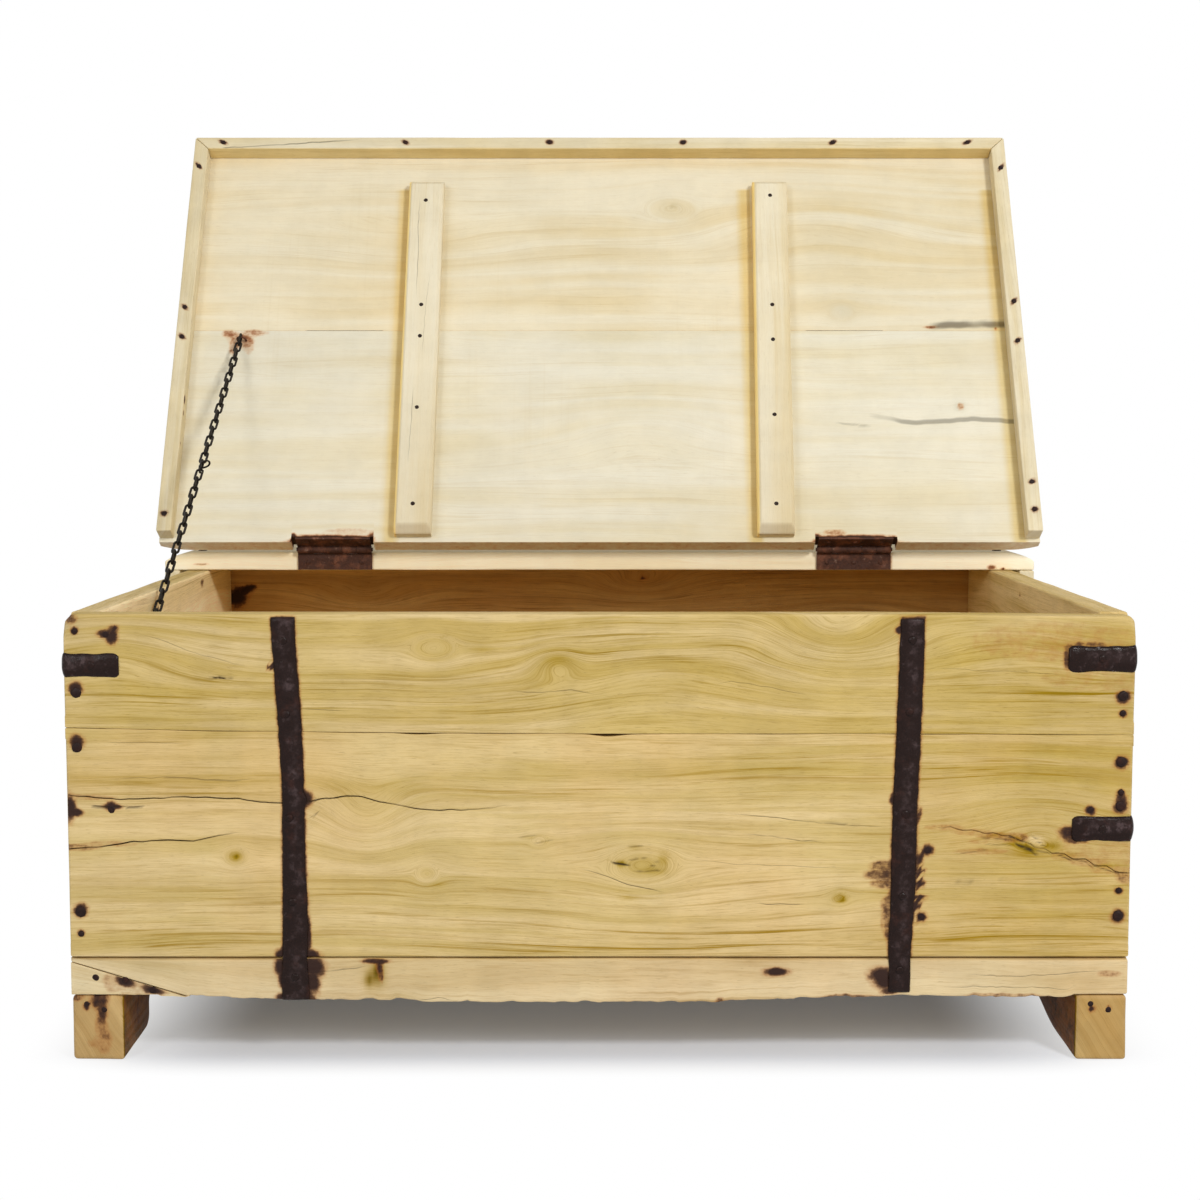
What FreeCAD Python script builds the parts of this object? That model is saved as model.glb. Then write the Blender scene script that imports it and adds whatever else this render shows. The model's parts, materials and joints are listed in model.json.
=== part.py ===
import FreeCAD, Part
import math
import os

V = FreeCAD.Vector

# Driving dimensions, in millimetres and degrees.
# X runs to the right seen from the front, Y from front to back and Z up.
# While it is built, the chest stands on Z 0 with the front wall's face on Y 0.

# Walls, floor and runners
body_width = 1100.0
body_depth = 794.0
wall_thick = 31.0
top_board_height = 124.0
lower_board_height = 234.0
arris_round = 4.0
floor_thick = 40.0
front_plank_width = 268.0
rear_plank_width = 264.0
runner_height = 70.0
runner_width = 54.0

# Waney lower edge of the front plank, between the runners
wane_drop = 9.0
wane_reach = 55.0
wane_along_shares = (0.0, 0.07, 0.2, 0.29, 0.32, 0.63, 0.64, 0.815, 0.92, 0.99, 1.0)
wane_drop_shares = (0.0, 0.38, 0.72, 0.74, 0.97, 1.0, 0.74, 0.26, 0.38, 0.36, 0.0)

# Splice patch at the front plank's left end
patch_length = 123.0
patch_height = 35.0
patch_depth = 30.0
wedge_overrun_share = 0.5
patch_nail_along_shares = (0.21, 0.46, 0.69)
patch_nail_up_shares = (0.52, 0.44, 0.13)

# Undersides of the runners
left_foot_length = 117.0
left_notch_height = 34.0
left_notch_round = 12.0
right_foot_length = 63.0
right_arch_run = 150.0
right_arch_rise = 17.0

# Lid and rear rail
panel_thick = 24.0
overhang = 28.0
rail_width = 189.0
lid_rear_board_width = 323.0
lid_gap = 2.5
lid_open_angle = 119.0
end_round_run = 40.0
end_round_drop = 12.0
rim_thick = 20.0
rim_height = 24.0
rim_end_setback = 5.5
rail_rim_height = 15.0

# Battens under the lid
batten_width = 49.0
batten_thick = 22.0
batten_edge_chamfer = 5.0
batten_end_bevel = 11.0
batten_rear_setback = 7.0
batten_wall_clearance = 9.0
left_batten_offset = 245.0
right_batten_front_offset = 241.0
right_batten_rear_offset = 231.0
left_screw_shares = (0.07, 0.33, 0.53, 0.62, 0.93)
right_screw_shares = (0.07, 0.31, 0.52, 0.62, 0.945)

# Butt hinges
hinge_length = 98.0
left_hinge_offset = 351.0
right_hinge_offset = 337.0
leaf_thick = 3.0
leaf_drop = 27.0
barrel_radius = 5.25
barrel_rise = 4.0
hinge_pin_radius = 2.5
pin_clearance = 0.05
pin_overrun = 1.5
knuckle_count = 5
knuckle_gap = 0.4
mortise_side_room = 5.0
leaf_screw_along_shares = (0.14, 0.5, 0.86)
leaf_screw_drop = 17.0

# Iron straps
strap_thick = 3.0
strap_width = 24.0
strap_top_gap = 3.0
left_strap_inset = 225.5
left_strap_lean = 9.0
left_strap_reach = 45.0
right_strap_inset = 229.0
right_strap_lean = 10.0
right_strap_reach = 37.0
strap_nail_shares = (0.06, 0.25, 0.52, 0.74, 0.94)
corner_bend_round = 4.0
corner_side_leg = 62.0
left_corner_drop = 40.0
left_corner_height = 25.0
left_corner_front_leg = 57.0
right_upper_drop = 32.0
right_upper_height = 28.0
right_upper_front_leg = 69.0
right_lower_drop = 209.0
right_lower_height = 27.0
right_lower_front_leg = 62.0

# Nails and screws
nail_clearance = 0.1
large_head = 12.0
large_shank = 4.5
large_length = 62.0
small_head = 7.0
small_shank = 3.0
small_length = 48.0
head_height = 2.0
head_crown_share = 0.55
nail_inset = 12.0
left_large_shares = (0.226, 0.385, 0.866)
left_small_shares = (0.05, 0.931)
right_large_shares = (0.236, 0.427, 0.556, 0.878)
right_small_shares = (0.285, 0.515, 0.804)
back_large_shares = (0.12, 0.28, 0.5, 0.72, 0.9)
strap_nail_head = 9.0
strap_nail_length = 26.0
floor_nail_inset = 42.5
floor_nail_along_shares = (0.25, 0.75)
runner_nail_length = 34.0
runner_nail_across_shares = (0.29, 0.63)
runner_nail_up_shares = (0.86, 0.77)
rail_nail_across_shares = (0.2, 0.8)
rail_back_nail_shares = (0.25, 0.5, 0.75)
rail_nail_length = 58.0
rim_nail_head = 8.0
rim_nail_length = 38.0
rim_nail_inset = 9.0
front_rim_nail_shares = (0.035, 0.26, 0.438, 0.603, 0.788, 0.954)
left_rim_nail_shares = (0.04, 0.47, 0.545, 0.92)
right_rim_nail_shares = (0.05, 0.115, 0.46, 0.56, 0.915)
rail_rim_nail_shares = (0.18, 0.8)
rail_rim_nail_length = 30.0
screw_head = 7.0
screw_head_height = 1.2
screw_shank = 3.5
screw_length = 36.0
leaf_screw_length = 24.0

# Chain stay
link_wire = 3.0
link_inner_length = 18.0
link_inner_width = 4.5
link_gap = 0.3
lower_link_count = 16
upper_link_count = 16
hook_tip_share = 0.75
hook_mouth_share = 0.1
hook_side_share = 0.1
lid_eye_side = 86.5
lid_eye_reach = 304.0
lid_eye_height = 10.0
staple_spread = 11.0
staple_leg = 15.0
anchor_drop = 31.0
anchor_stand_off = 7.0
anchor_shank = 3.5
anchor_head = 12.0
anchor_head_height = 2.5
anchor_head_gap = 0.5
anchor_length = 20.0

# How far cutting shapes run past what they cut, and how near a point counts as on a plane
overrun = 20.0
match_tolerance = 0.1

# Plain turns and middles
half_turn = 180.0
middle_share = 0.5

# Levels and planes that follow from the sizes above
half_width = body_width / 2
inner_half_width = half_width - wall_thick
floor_top = runner_height + floor_thick
seam_level = floor_top + lower_board_height
wall_top = seam_level + top_board_height
panel_top = wall_top + panel_thick
panel_half_width = half_width + overhang
rail_front = body_depth - rail_width
lid_front = -overhang
lid_rear = rail_front - lid_gap
lid_seam = lid_rear - lid_rear_board_width
axis_y = rail_front - barrel_radius
axis_z = panel_top + barrel_rise
rim_bottom = wall_top - rim_height
rim_inner_half_width = panel_half_width - rim_thick
runner_inner = half_width - runner_width

X_AXIS = V(1, 0, 0)
Y_AXIS = V(0, 1, 0)
Z_AXIS = V(0, 0, 1)
AXIS_POINT = V(0, axis_y, axis_z)


# Basic shapes
def block(x_from, x_to, y_from, y_to, z_from, z_to):
    """A box between two corners."""
    return Part.makeBox(x_to - x_from, y_to - y_from, z_to - z_from, V(x_from, y_from, z_from))


def prism(points, travel):
    """A flat outline pushed along a vector."""
    return Part.Face(Part.makePolygon(list(points) + [points[0]])).extrude(travel)


def edges_on(shape, **planes):
    """The edges that lie in every plane given, such as y=0."""
    found = []
    for edge in shape.Edges:
        points = [vertex.Point for vertex in edge.Vertexes]
        offsets = [abs(getattr(p, axis) - level) for p in points for axis, level in planes.items()]
        if max(offsets) < match_tolerance:
            found.append(edge)
    return found


def ease(shape, radius, *plane_sets):
    """Rounds the edges named by each set of planes."""
    edges = []
    for planes in plane_sets:
        edges += edges_on(shape, **planes)
    return shape.makeFillet(radius, edges)


def rod(radius, start, direction, length):
    """A round rod."""
    return Part.makeCylinder(radius, length, start, direction)


def fixing(place, direction, head, head_rise, shank, length):
    """A nail or screw whose crowned head sits on the surface at place, driven along direction."""
    inward = V(direction).normalize()
    outward = inward * -1
    crown = Part.makeCone(head / 2, head / 2 * head_crown_share, head_rise, place, outward)
    return crown.fuse(rod(shank / 2, place, inward, length)).removeSplitter()


def fixing_hole(place, direction, shank, length):
    """The hole that a fixing's shank fits."""
    inward = V(direction).normalize()
    start = place - inward * overrun
    return rod(shank / 2 + nail_clearance, start, inward, overrun + length + nail_clearance)


class Fixings:
    """A group of like fixings, with the holes they need."""

    def __init__(self):
        self.solids = []
        self.holes = []

    def add(self, place, direction, head, head_rise, shank, length):
        self.solids.append(fixing(place, direction, head, head_rise, shank, length))
        self.holes.append(fixing_hole(place, direction, shank, length))

    def shape(self):
        return Part.makeCompound(self.solids)


def drilled(shape, *groups):
    """A shape with the holes of the fixings that reach it."""
    holes = []
    for group in groups:
        for hole in group.holes:
            if hole.BoundBox.intersect(shape.BoundBox):
                holes.append(hole)
    if not holes:
        return shape
    return shape.cut(holes)


def share_of(start, end, share):
    """The place a share of the way from start to end."""
    return start + (end - start) * share


pieces = {}

# Fixings of the chest
wall_nails = Fixings()


def corner_nails(side, large_shares, small_shares, face_y, inward):
    """Nails down one corner of the front or back wall, into the side wall's end."""
    for shares, head, shank, length in (
        (large_shares, large_head, large_shank, large_length),
        (small_shares, small_head, small_shank, small_length),
    ):
        for share in shares:
            place = V(side * (half_width - nail_inset), face_y, share_of(wall_top, floor_top, share))
            wall_nails.add(place, inward, head, head_height, shank, length)


corner_nails(-1, left_large_shares, left_small_shares, 0, Y_AXIS)
corner_nails(1, right_large_shares, right_small_shares, 0, Y_AXIS)
corner_nails(-1, back_large_shares, (), body_depth, -Y_AXIS)
corner_nails(1, back_large_shares, (), body_depth, -Y_AXIS)

# Straps down the front wall, each leaning inward towards its foot
strap_nails = Fixings()


def front_strap(side, inset, lean, reach):
    """A flat strap from below the wall's top to the floor plank's edge."""
    top = wall_top - strap_top_gap
    foot = floor_top - reach
    top_x = side * (half_width - inset)
    foot_x = side * (half_width - inset - lean)
    half = strap_width / 2
    outline = [V(top_x - half, 0, top), V(top_x + half, 0, top)]
    outline += [V(foot_x + half, 0, foot), V(foot_x - half, 0, foot)]
    holes = Fixings()
    for share in strap_nail_shares:
        place = V(share_of(top_x, foot_x, share), -strap_thick, share_of(top, foot, share))
        for group in (holes, strap_nails):
            group.add(place, Y_AXIS, strap_nail_head, head_height, small_shank, strap_nail_length)
    return drilled(prism(outline, V(0, -strap_thick, 0)), holes)


pieces["strap_front_left"] = front_strap(-1, left_strap_inset, left_strap_lean, left_strap_reach)
pieces["strap_front_right"] = front_strap(1, right_strap_inset, right_strap_lean, right_strap_reach)


def corner_strap(side, drop, height, front_leg):
    """An angle of strap iron round a front corner."""
    top = wall_top - drop
    bottom = top - height
    outer = half_width + strap_thick
    tip = half_width - front_leg
    front = [V(tip, 0, bottom), V(tip, -strap_thick, bottom), V(outer, -strap_thick, bottom)]
    back = [V(outer, corner_side_leg, bottom), V(half_width, corner_side_leg, bottom)]
    iron = prism(front + back + [V(half_width, 0, bottom)], V(0, 0, height))
    iron = ease(iron, corner_bend_round, {"x": outer, "y": -strap_thick})
    if side < 0:
        iron = iron.mirror(V(0, 0, 0), X_AXIS)
    middle = bottom + height / 2
    front_place = V(side * share_of(tip, half_width, middle_share), -strap_thick, middle)
    side_place = V(side * outer, share_of(wall_thick, corner_side_leg, middle_share), middle)
    holes = Fixings()
    for group in (holes, strap_nails):
        group.add(front_place, Y_AXIS, strap_nail_head, head_height, small_shank, strap_nail_length)
        group.add(side_place, X_AXIS * -side, strap_nail_head, head_height, small_shank, strap_nail_length)
    return drilled(iron, holes)


pieces["corner_strap_left"] = corner_strap(-1, left_corner_drop, left_corner_height, left_corner_front_leg)
pieces["corner_strap_right_upper"] = corner_strap(
    1, right_upper_drop, right_upper_height, right_upper_front_leg
)
pieces["corner_strap_right_lower"] = corner_strap(
    1, right_lower_drop, right_lower_height, right_lower_front_leg
)

# Runners with arched undersides, the same at front and back
runner_nails = Fixings()
for runner_left in (-half_width, runner_inner):
    for across_share, up_share in zip(runner_nail_across_shares, runner_nail_up_shares):
        nail_place = V(runner_left + runner_width * across_share, 0, runner_height * up_share)
        runner_nails.add(nail_place, Y_AXIS, small_head, head_height, small_shank, runner_nail_length)


def left_runner():
    """A runner with a steep notch between its two feet."""
    beam = block(-half_width, -runner_inner, 0, body_depth, 0, runner_height)
    rear_foot = body_depth - left_foot_length
    outside = -half_width - overrun
    inside = -runner_inner + overrun
    notch = block(outside, inside, left_foot_length, rear_foot, -overrun, left_notch_height)
    beam = beam.cut(notch)
    ends = []
    for y in (left_foot_length, rear_foot):
        ends += [{"y": y, "z": 0}, {"y": y, "z": left_notch_height}]
    return ease(beam, left_notch_round, *ends)


def right_runner():
    """A runner with a low arch that eases in and out between its two feet."""
    radius = (right_arch_run**2 + right_arch_rise**2) / (4 * right_arch_rise)
    turn = math.asin(right_arch_run / 2 / radius)

    def rising(angle):
        return V(runner_inner, right_foot_length + radius * math.sin(angle), radius * (1 - math.cos(angle)))

    def levelling(angle):
        level = right_foot_length + right_arch_run
        return V(
            runner_inner, level - radius * math.sin(angle), right_arch_rise - radius * (1 - math.cos(angle))
        )

    def opposite(point):
        return V(point.x, body_depth - point.y, point.z)

    front = [rising(0), rising(turn / 2), rising(turn), levelling(turn / 2), levelling(0)]
    rear = [opposite(point) for point in front]
    corners = [V(runner_inner, body_depth, 0), V(runner_inner, body_depth, runner_height)]
    corners += [V(runner_inner, 0, runner_height), V(runner_inner, 0, 0)]
    edges = [
        Part.Arc(front[0], front[1], front[2]).toShape(),
        Part.Arc(front[2], front[3], front[4]).toShape(),
        Part.makeLine(front[4], rear[4]),
        Part.Arc(rear[4], rear[3], rear[2]).toShape(),
        Part.Arc(rear[2], rear[1], rear[0]).toShape(),
    ]
    path = [rear[0]] + corners + [front[0]]
    edges += [Part.makeLine(start, end) for start, end in zip(path, path[1:])]
    return Part.Face(Part.Wire(edges)).extrude(V(runner_width, 0, 0))


# Floor planks across the runners, nailed down inside the side walls
floor_nails = Fixings()
plank_ends = (0, front_plank_width, body_depth - rear_plank_width, body_depth)
for plank_from, plank_to in zip(plank_ends, plank_ends[1:]):
    for share in floor_nail_along_shares:
        for side in (-1, 1):
            nail_x = side * (half_width - floor_nail_inset)
            nail_place = V(nail_x, share_of(plank_from, plank_to, share), floor_top)
            floor_nails.add(nail_place, -Z_AXIS, small_head, head_height, small_shank, large_length)

pieces["left_runner"] = drilled(left_runner(), runner_nails, floor_nails)
pieces["right_runner"] = drilled(right_runner(), runner_nails, floor_nails)


def front_plank():
    """The front plank, with its waney lower edge between the runners."""
    plank = block(-half_width, half_width, 0, front_plank_width, runner_height, floor_top)
    edge = []
    for along_share, drop_share in zip(wane_along_shares, wane_drop_shares):
        x = share_of(-runner_inner, runner_inner, along_share)
        edge.append(V(x, 0, runner_height - wane_drop * drop_share))
    return plank.fuse(prism(edge, V(0, wane_reach, 0))).removeSplitter()


whole_front_plank = front_plank()
patch_top = V(-half_width, 0, runner_height + patch_height)
patch_tip = V(-half_width + patch_length, 0, runner_height - wane_drop * wane_drop_shares[1])
patch_line = patch_tip - patch_top
patch_wedge = prism(
    [
        patch_top - patch_line * wedge_overrun_share,
        patch_tip + patch_line * wedge_overrun_share,
        V(patch_tip.x, 0, -overrun),
        V(-half_width - patch_length, 0, -overrun),
    ],
    V(0, patch_depth, 0),
)
patch_nails = Fixings()
for along_share, up_share in zip(patch_nail_along_shares, patch_nail_up_shares):
    nail_place = V(-half_width + patch_length * along_share, 0, runner_height + patch_height * up_share)
    patch_nails.add(nail_place, Y_AXIS, screw_head, head_height, small_shank, small_length)

pieces["floor_patch"] = drilled(whole_front_plank.common(patch_wedge), patch_nails)
pieces["floor_plank_front"] = drilled(
    whole_front_plank.cut(patch_wedge), patch_nails, floor_nails, strap_nails
)
pieces["floor_plank_middle"] = drilled(
    block(-half_width, half_width, plank_ends[1], plank_ends[2], runner_height, floor_top), floor_nails
)
pieces["floor_plank_rear"] = drilled(
    block(-half_width, half_width, plank_ends[2], plank_ends[3], runner_height, floor_top), floor_nails
)

# Nails down through the rail, into the side walls and the back wall
rail_nails = Fixings()
for side in (-1, 1):
    for share in rail_nail_across_shares:
        nail_x = side * (half_width - wall_thick / 2)
        nail_place = V(nail_x, share_of(rail_front, body_depth, share), panel_top)
        rail_nails.add(nail_place, -Z_AXIS, large_head, head_height, large_shank, rail_nail_length)
for share in rail_back_nail_shares:
    nail_place = V(share_of(-half_width, half_width, share), body_depth - wall_thick / 2, panel_top)
    rail_nails.add(nail_place, -Z_AXIS, large_head, head_height, large_shank, rail_nail_length)

# Chain anchor: a headed nail in the left wall that the first link turns on
chain_pitch = link_inner_length - link_gap
link_outer_length = link_inner_length + 2 * link_wire
arc_offset = (link_inner_length - link_inner_width) / 2
link_count = lower_link_count + 1 + upper_link_count
chain_length = 2 * arc_offset + (link_count - 1) * chain_pitch
open_turn = FreeCAD.Rotation(X_AXIS, -lid_open_angle)
lid_eye_shut = V(lid_eye_side - panel_half_width, axis_y - lid_eye_reach, wall_top - lid_eye_height)
lid_eye = AXIS_POINT + open_turn.multVec(lid_eye_shut - AXIS_POINT)
anchor_x = anchor_stand_off - inner_half_width
anchor_z = wall_top - anchor_drop
anchor_fall = lid_eye.z - anchor_z
anchor_y = lid_eye.y - math.sqrt(chain_length**2 - anchor_fall**2 - (lid_eye.x - anchor_x) ** 2)
anchor = V(anchor_x, anchor_y, anchor_z)

anchor_neck = anchor_stand_off + link_wire / 2 + anchor_head_gap
anchor_group = Fixings()
anchor_group.add(
    V(anchor_neck - inner_half_width, anchor_y, anchor_z),
    -X_AXIS,
    anchor_head,
    anchor_head_height,
    anchor_shank,
    anchor_neck + anchor_length,
)

# Walls: front and back boards run the full width, side boards fit between them
board_levels = {"lower": (floor_top, seam_level), "top": (seam_level, wall_top)}
for level_name, (low, high) in board_levels.items():
    front = block(-half_width, half_width, 0, wall_thick, low, high)
    back = block(-half_width, half_width, body_depth - wall_thick, body_depth, low, high)
    front_edges = [{"x": -half_width, "y": 0}, {"x": half_width, "y": 0}]
    back_edges = [{"x": -half_width, "y": body_depth}, {"x": half_width, "y": body_depth}]
    if level_name == "top":
        front_edges += [{"y": 0, "z": high}]
    groups = (wall_nails, strap_nails, rail_nails, anchor_group)
    pieces[f"front_{level_name}_board"] = drilled(ease(front, arris_round, *front_edges), *groups)
    pieces[f"back_{level_name}_board"] = drilled(ease(back, arris_round, *back_edges), *groups)
    for side, side_name in ((-1, "left"), (1, "right")):
        outer = side * half_width
        inner = side * inner_half_width
        board = block(min(outer, inner), max(outer, inner), wall_thick, body_depth - wall_thick, low, high)
        if level_name == "top":
            board = ease(board, arris_round, {"x": outer, "z": high})
        pieces[f"{side_name}_side_{level_name}_board"] = drilled(board, *groups)


# Panels of the lid and rail share one section, rounded over at both ends
def panel(y_from, y_to):
    """A board across the chest from y_from to y_to."""
    radius = (end_round_run**2 + end_round_drop**2) / (2 * end_round_drop)
    turn = math.asin(end_round_run / radius)

    def over(side, angle):
        x = side * (panel_half_width - end_round_run + radius * math.sin(angle))
        return V(x, y_from, panel_top - radius * (1 - math.cos(angle)))

    right = [over(1, 0), over(1, turn / 2), over(1, turn)]
    left = [over(-1, turn), over(-1, turn / 2), over(-1, 0)]
    path = [right[2], V(panel_half_width, y_from, wall_top), V(-panel_half_width, y_from, wall_top), left[0]]
    edges = [Part.Arc(*right).toShape()]
    edges += [Part.makeLine(start, end) for start, end in zip(path, path[1:])]
    edges += [Part.Arc(*left).toShape(), Part.makeLine(left[2], right[0])]
    return Part.Face(Part.Wire(edges)).extrude(V(0, y_to - y_from, 0))


# Rail screws and rim strips
rail_screws = Fixings()
lid_screws = Fixings()
rail_rim_nails = Fixings()
hinge_places = {"left": -left_hinge_offset, "right": right_hinge_offset}
screw_level = axis_z - leaf_screw_drop
rail_leaf_face = rail_front - leaf_thick
lid_leaf_back = axis_y - barrel_radius
lid_leaf_face = lid_leaf_back + leaf_thick
for middle_x in hinge_places.values():
    for share in leaf_screw_along_shares:
        x = middle_x + hinge_length * (share - middle_share)
        rail_side = (rail_screws, rail_leaf_face, Y_AXIS)
        lid_side = (lid_screws, lid_leaf_face, -Y_AXIS)
        for group, face_y, inward in (rail_side, lid_side):
            place = V(x, face_y, screw_level)
            group.add(place, inward, screw_head, screw_head_height, screw_shank, leaf_screw_length)
for side, side_name in ((-1, "left"), (1, "right")):
    for share in rail_rim_nail_shares:
        nail_place = V(
            side * (panel_half_width - rim_thick / 2),
            share_of(rail_front, body_depth, share),
            wall_top - rail_rim_height,
        )
        rail_rim_nails.add(nail_place, Z_AXIS, rim_nail_head, head_height, small_shank, rail_rim_nail_length)
    inner = side * rim_inner_half_width
    outer = side * panel_half_width
    near, far = min(inner, outer), max(inner, outer)
    strip = block(near, far, rail_front, body_depth, wall_top - rail_rim_height, wall_top)
    pieces[f"rear_rail_{side_name}_rim"] = drilled(strip, rail_rim_nails)
pieces["rear_rail"] = drilled(panel(rail_front, body_depth), rail_nails, rail_screws, rail_rim_nails)


# Hinges: the rail leaf has the outer and middle knuckles, the lid leaf those between
def hinge_leaf(middle_x, plate_from, plate_to, own_first, group):
    """One leaf in the shut position, with its knuckles round the hinge axis."""
    start_x = middle_x - hinge_length / 2
    knuckle = hinge_length / knuckle_count
    plate_low = axis_z - leaf_drop
    plate_high = axis_z - barrel_radius - knuckle_gap
    leaf = block(start_x, start_x + hinge_length, plate_from, plate_to, plate_low, plate_high)
    rolled = []
    for index in range(own_first, knuckle_count, 2):
        left = start_x + index * knuckle + knuckle_gap / 2
        right = left + knuckle - knuckle_gap
        rolled.append(block(left, right, plate_from, plate_to, plate_high, axis_z))
        rolled.append(rod(barrel_radius, V(left, axis_y, axis_z), X_AXIS, right - left))
    leaf = leaf.fuse(rolled).removeSplitter()
    bore_start = V(start_x - overrun, axis_y, axis_z)
    bore = rod(hinge_pin_radius + pin_clearance, bore_start, X_AXIS, hinge_length + 2 * overrun)
    return drilled(leaf.cut(bore), group)


lid_pieces = {}
for side_name, middle_x in hinge_places.items():
    rail_leaf = hinge_leaf(middle_x, rail_leaf_face, rail_front, 0, rail_screws)
    lid_leaf = hinge_leaf(middle_x, lid_leaf_back, lid_leaf_face, 1, lid_screws)
    pieces[f"{side_name}_hinge_rail_leaf"] = rail_leaf
    lid_pieces[f"{side_name}_hinge_lid_leaf"] = lid_leaf
    pieces[f"{side_name}_hinge_pin"] = rod(
        hinge_pin_radius,
        V(middle_x - hinge_length / 2 - pin_overrun, axis_y, axis_z),
        X_AXIS,
        hinge_length + 2 * pin_overrun,
    )

# Battens, one square to the lid and one a little askew
batten_screws = Fixings()
batten_rear = lid_rear - batten_rear_setback
batten_front = wall_thick + batten_wall_clearance
batten_bottom = wall_top - batten_thick


def batten(front_x, rear_x, screw_shares):
    """A strip under the lid with chamfered edges and bevelled ends."""
    half = batten_width / 2
    outline = [V(front_x - half, batten_front, wall_top), V(front_x + half, batten_front, wall_top)]
    outline += [V(rear_x + half, batten_rear, wall_top), V(rear_x - half, batten_rear, wall_top)]
    strip = prism(outline, V(0, 0, -batten_thick))
    for end_y in (batten_front, batten_rear):
        strip = strip.makeChamfer(batten_end_bevel, edges_on(strip, y=end_y, z=batten_bottom))
    long_edges = []
    for edge in edges_on(strip, z=batten_bottom):
        if edge.Length > batten_width:
            long_edges.append(edge)
    strip = strip.makeChamfer(batten_edge_chamfer, long_edges)
    holes = Fixings()
    for share in screw_shares:
        x = share_of(rear_x, front_x, share)
        place = V(x, share_of(batten_rear, batten_front, share), batten_bottom)
        for group in (holes, batten_screws):
            group.add(place, Z_AXIS, screw_head, screw_head_height, screw_shank, screw_length)
    return drilled(strip, holes)


lid_pieces["left_batten"] = batten(-left_batten_offset, -left_batten_offset, left_screw_shares)
lid_pieces["right_batten"] = batten(right_batten_front_offset, right_batten_rear_offset, right_screw_shares)

# Rims under the lid's edges, mitred at the front corners
rim_nails = Fixings()
rim_rear = lid_rear - rim_end_setback
rim_inner_front = lid_front + rim_thick
for share in front_rim_nail_shares:
    nail_x = share_of(-panel_half_width, panel_half_width, share)
    nail_place = V(nail_x, lid_front + rim_nail_inset, rim_bottom)
    rim_nails.add(nail_place, Z_AXIS, rim_nail_head, head_height, small_shank, rim_nail_length)
for side, shares in ((-1, left_rim_nail_shares), (1, right_rim_nail_shares)):
    for share in shares:
        nail_x = side * (panel_half_width - rim_nail_inset)
        nail_place = V(nail_x, share_of(rim_rear, lid_front, share), rim_bottom)
        rim_nails.add(nail_place, Z_AXIS, rim_nail_head, head_height, small_shank, rim_nail_length)

front_rim_outline = [
    V(-panel_half_width, lid_front, rim_bottom),
    V(panel_half_width, lid_front, rim_bottom),
    V(rim_inner_half_width, rim_inner_front, rim_bottom),
    V(-rim_inner_half_width, rim_inner_front, rim_bottom),
]
lid_pieces["lid_front_rim"] = drilled(prism(front_rim_outline, V(0, 0, rim_height)), rim_nails)
for side, side_name in ((-1, "left"), (1, "right")):
    side_rim_outline = [
        V(side * panel_half_width, lid_front, rim_bottom),
        V(side * rim_inner_half_width, rim_inner_front, rim_bottom),
        V(side * rim_inner_half_width, rim_rear, rim_bottom),
        V(side * panel_half_width, rim_rear, rim_bottom),
    ]
    lid_pieces[f"lid_{side_name}_rim"] = drilled(prism(side_rim_outline, V(0, 0, rim_height)), rim_nails)


# Staple under the lid that carries the chain's top link
def wire_loop(centre, spread, leg_length):
    """A round-wire staple whose arch crosses centre, with legs that run up along Z."""
    arch_radius = spread / 2
    arch_middle = V(centre.x, centre.y, centre.z + arch_radius)
    ring = Part.Face(Part.Wire(Part.makeCircle(link_wire / 2, arch_middle + X_AXIS * arch_radius, Z_AXIS)))
    loop = ring.revolve(arch_middle, Y_AXIS, half_turn)
    legs = []
    for side in (-1, 1):
        leg_start = arch_middle + X_AXIS * (arch_radius * side)
        legs.append(rod(link_wire / 2, leg_start, Z_AXIS, leg_length))
    return loop.fuse(legs).removeSplitter()


staple_leg_length = lid_eye_height - staple_spread / 2 + staple_leg
lid_pieces["lid_staple"] = wire_loop(lid_eye_shut, staple_spread, staple_leg_length)
staple_holes = Fixings()
for side in (-1, 1):
    leg_place = V(lid_eye_shut.x + side * staple_spread / 2, lid_eye_shut.y, wall_top)
    staple_holes.holes.append(fixing_hole(leg_place, Z_AXIS, link_wire, staple_leg))

# Boards of the lid, with the rear one cut out for the hinges
mortises = []
for middle_x in hinge_places.values():
    reach = hinge_length / 2 + mortise_side_room
    past_rear = lid_rear + overrun
    below = wall_top - overrun
    above = panel_top + overrun
    mortises.append(block(middle_x - reach, middle_x + reach, lid_leaf_back, past_rear, below, above))
lid_groups = (rim_nails, batten_screws, staple_holes)
lid_pieces["lid_front_board"] = drilled(panel(lid_front, lid_seam), *lid_groups)
rear_board = ease(panel(lid_seam, lid_rear), arris_round, {"y": lid_rear, "z": wall_top})
lid_pieces["lid_rear_board"] = drilled(rear_board.cut(mortises), *lid_groups, lid_screws)
lid_pieces["batten_screws"] = batten_screws.shape()
lid_pieces["rim_nails"] = rim_nails.shape()
lid_pieces["lid_leaf_screws"] = lid_screws.shape()

# The lid stands open, leaning back on its chain
for name, shape in lid_pieces.items():
    shape.rotate(AXIS_POINT, X_AXIS, -lid_open_angle)
    pieces[name] = shape


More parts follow.
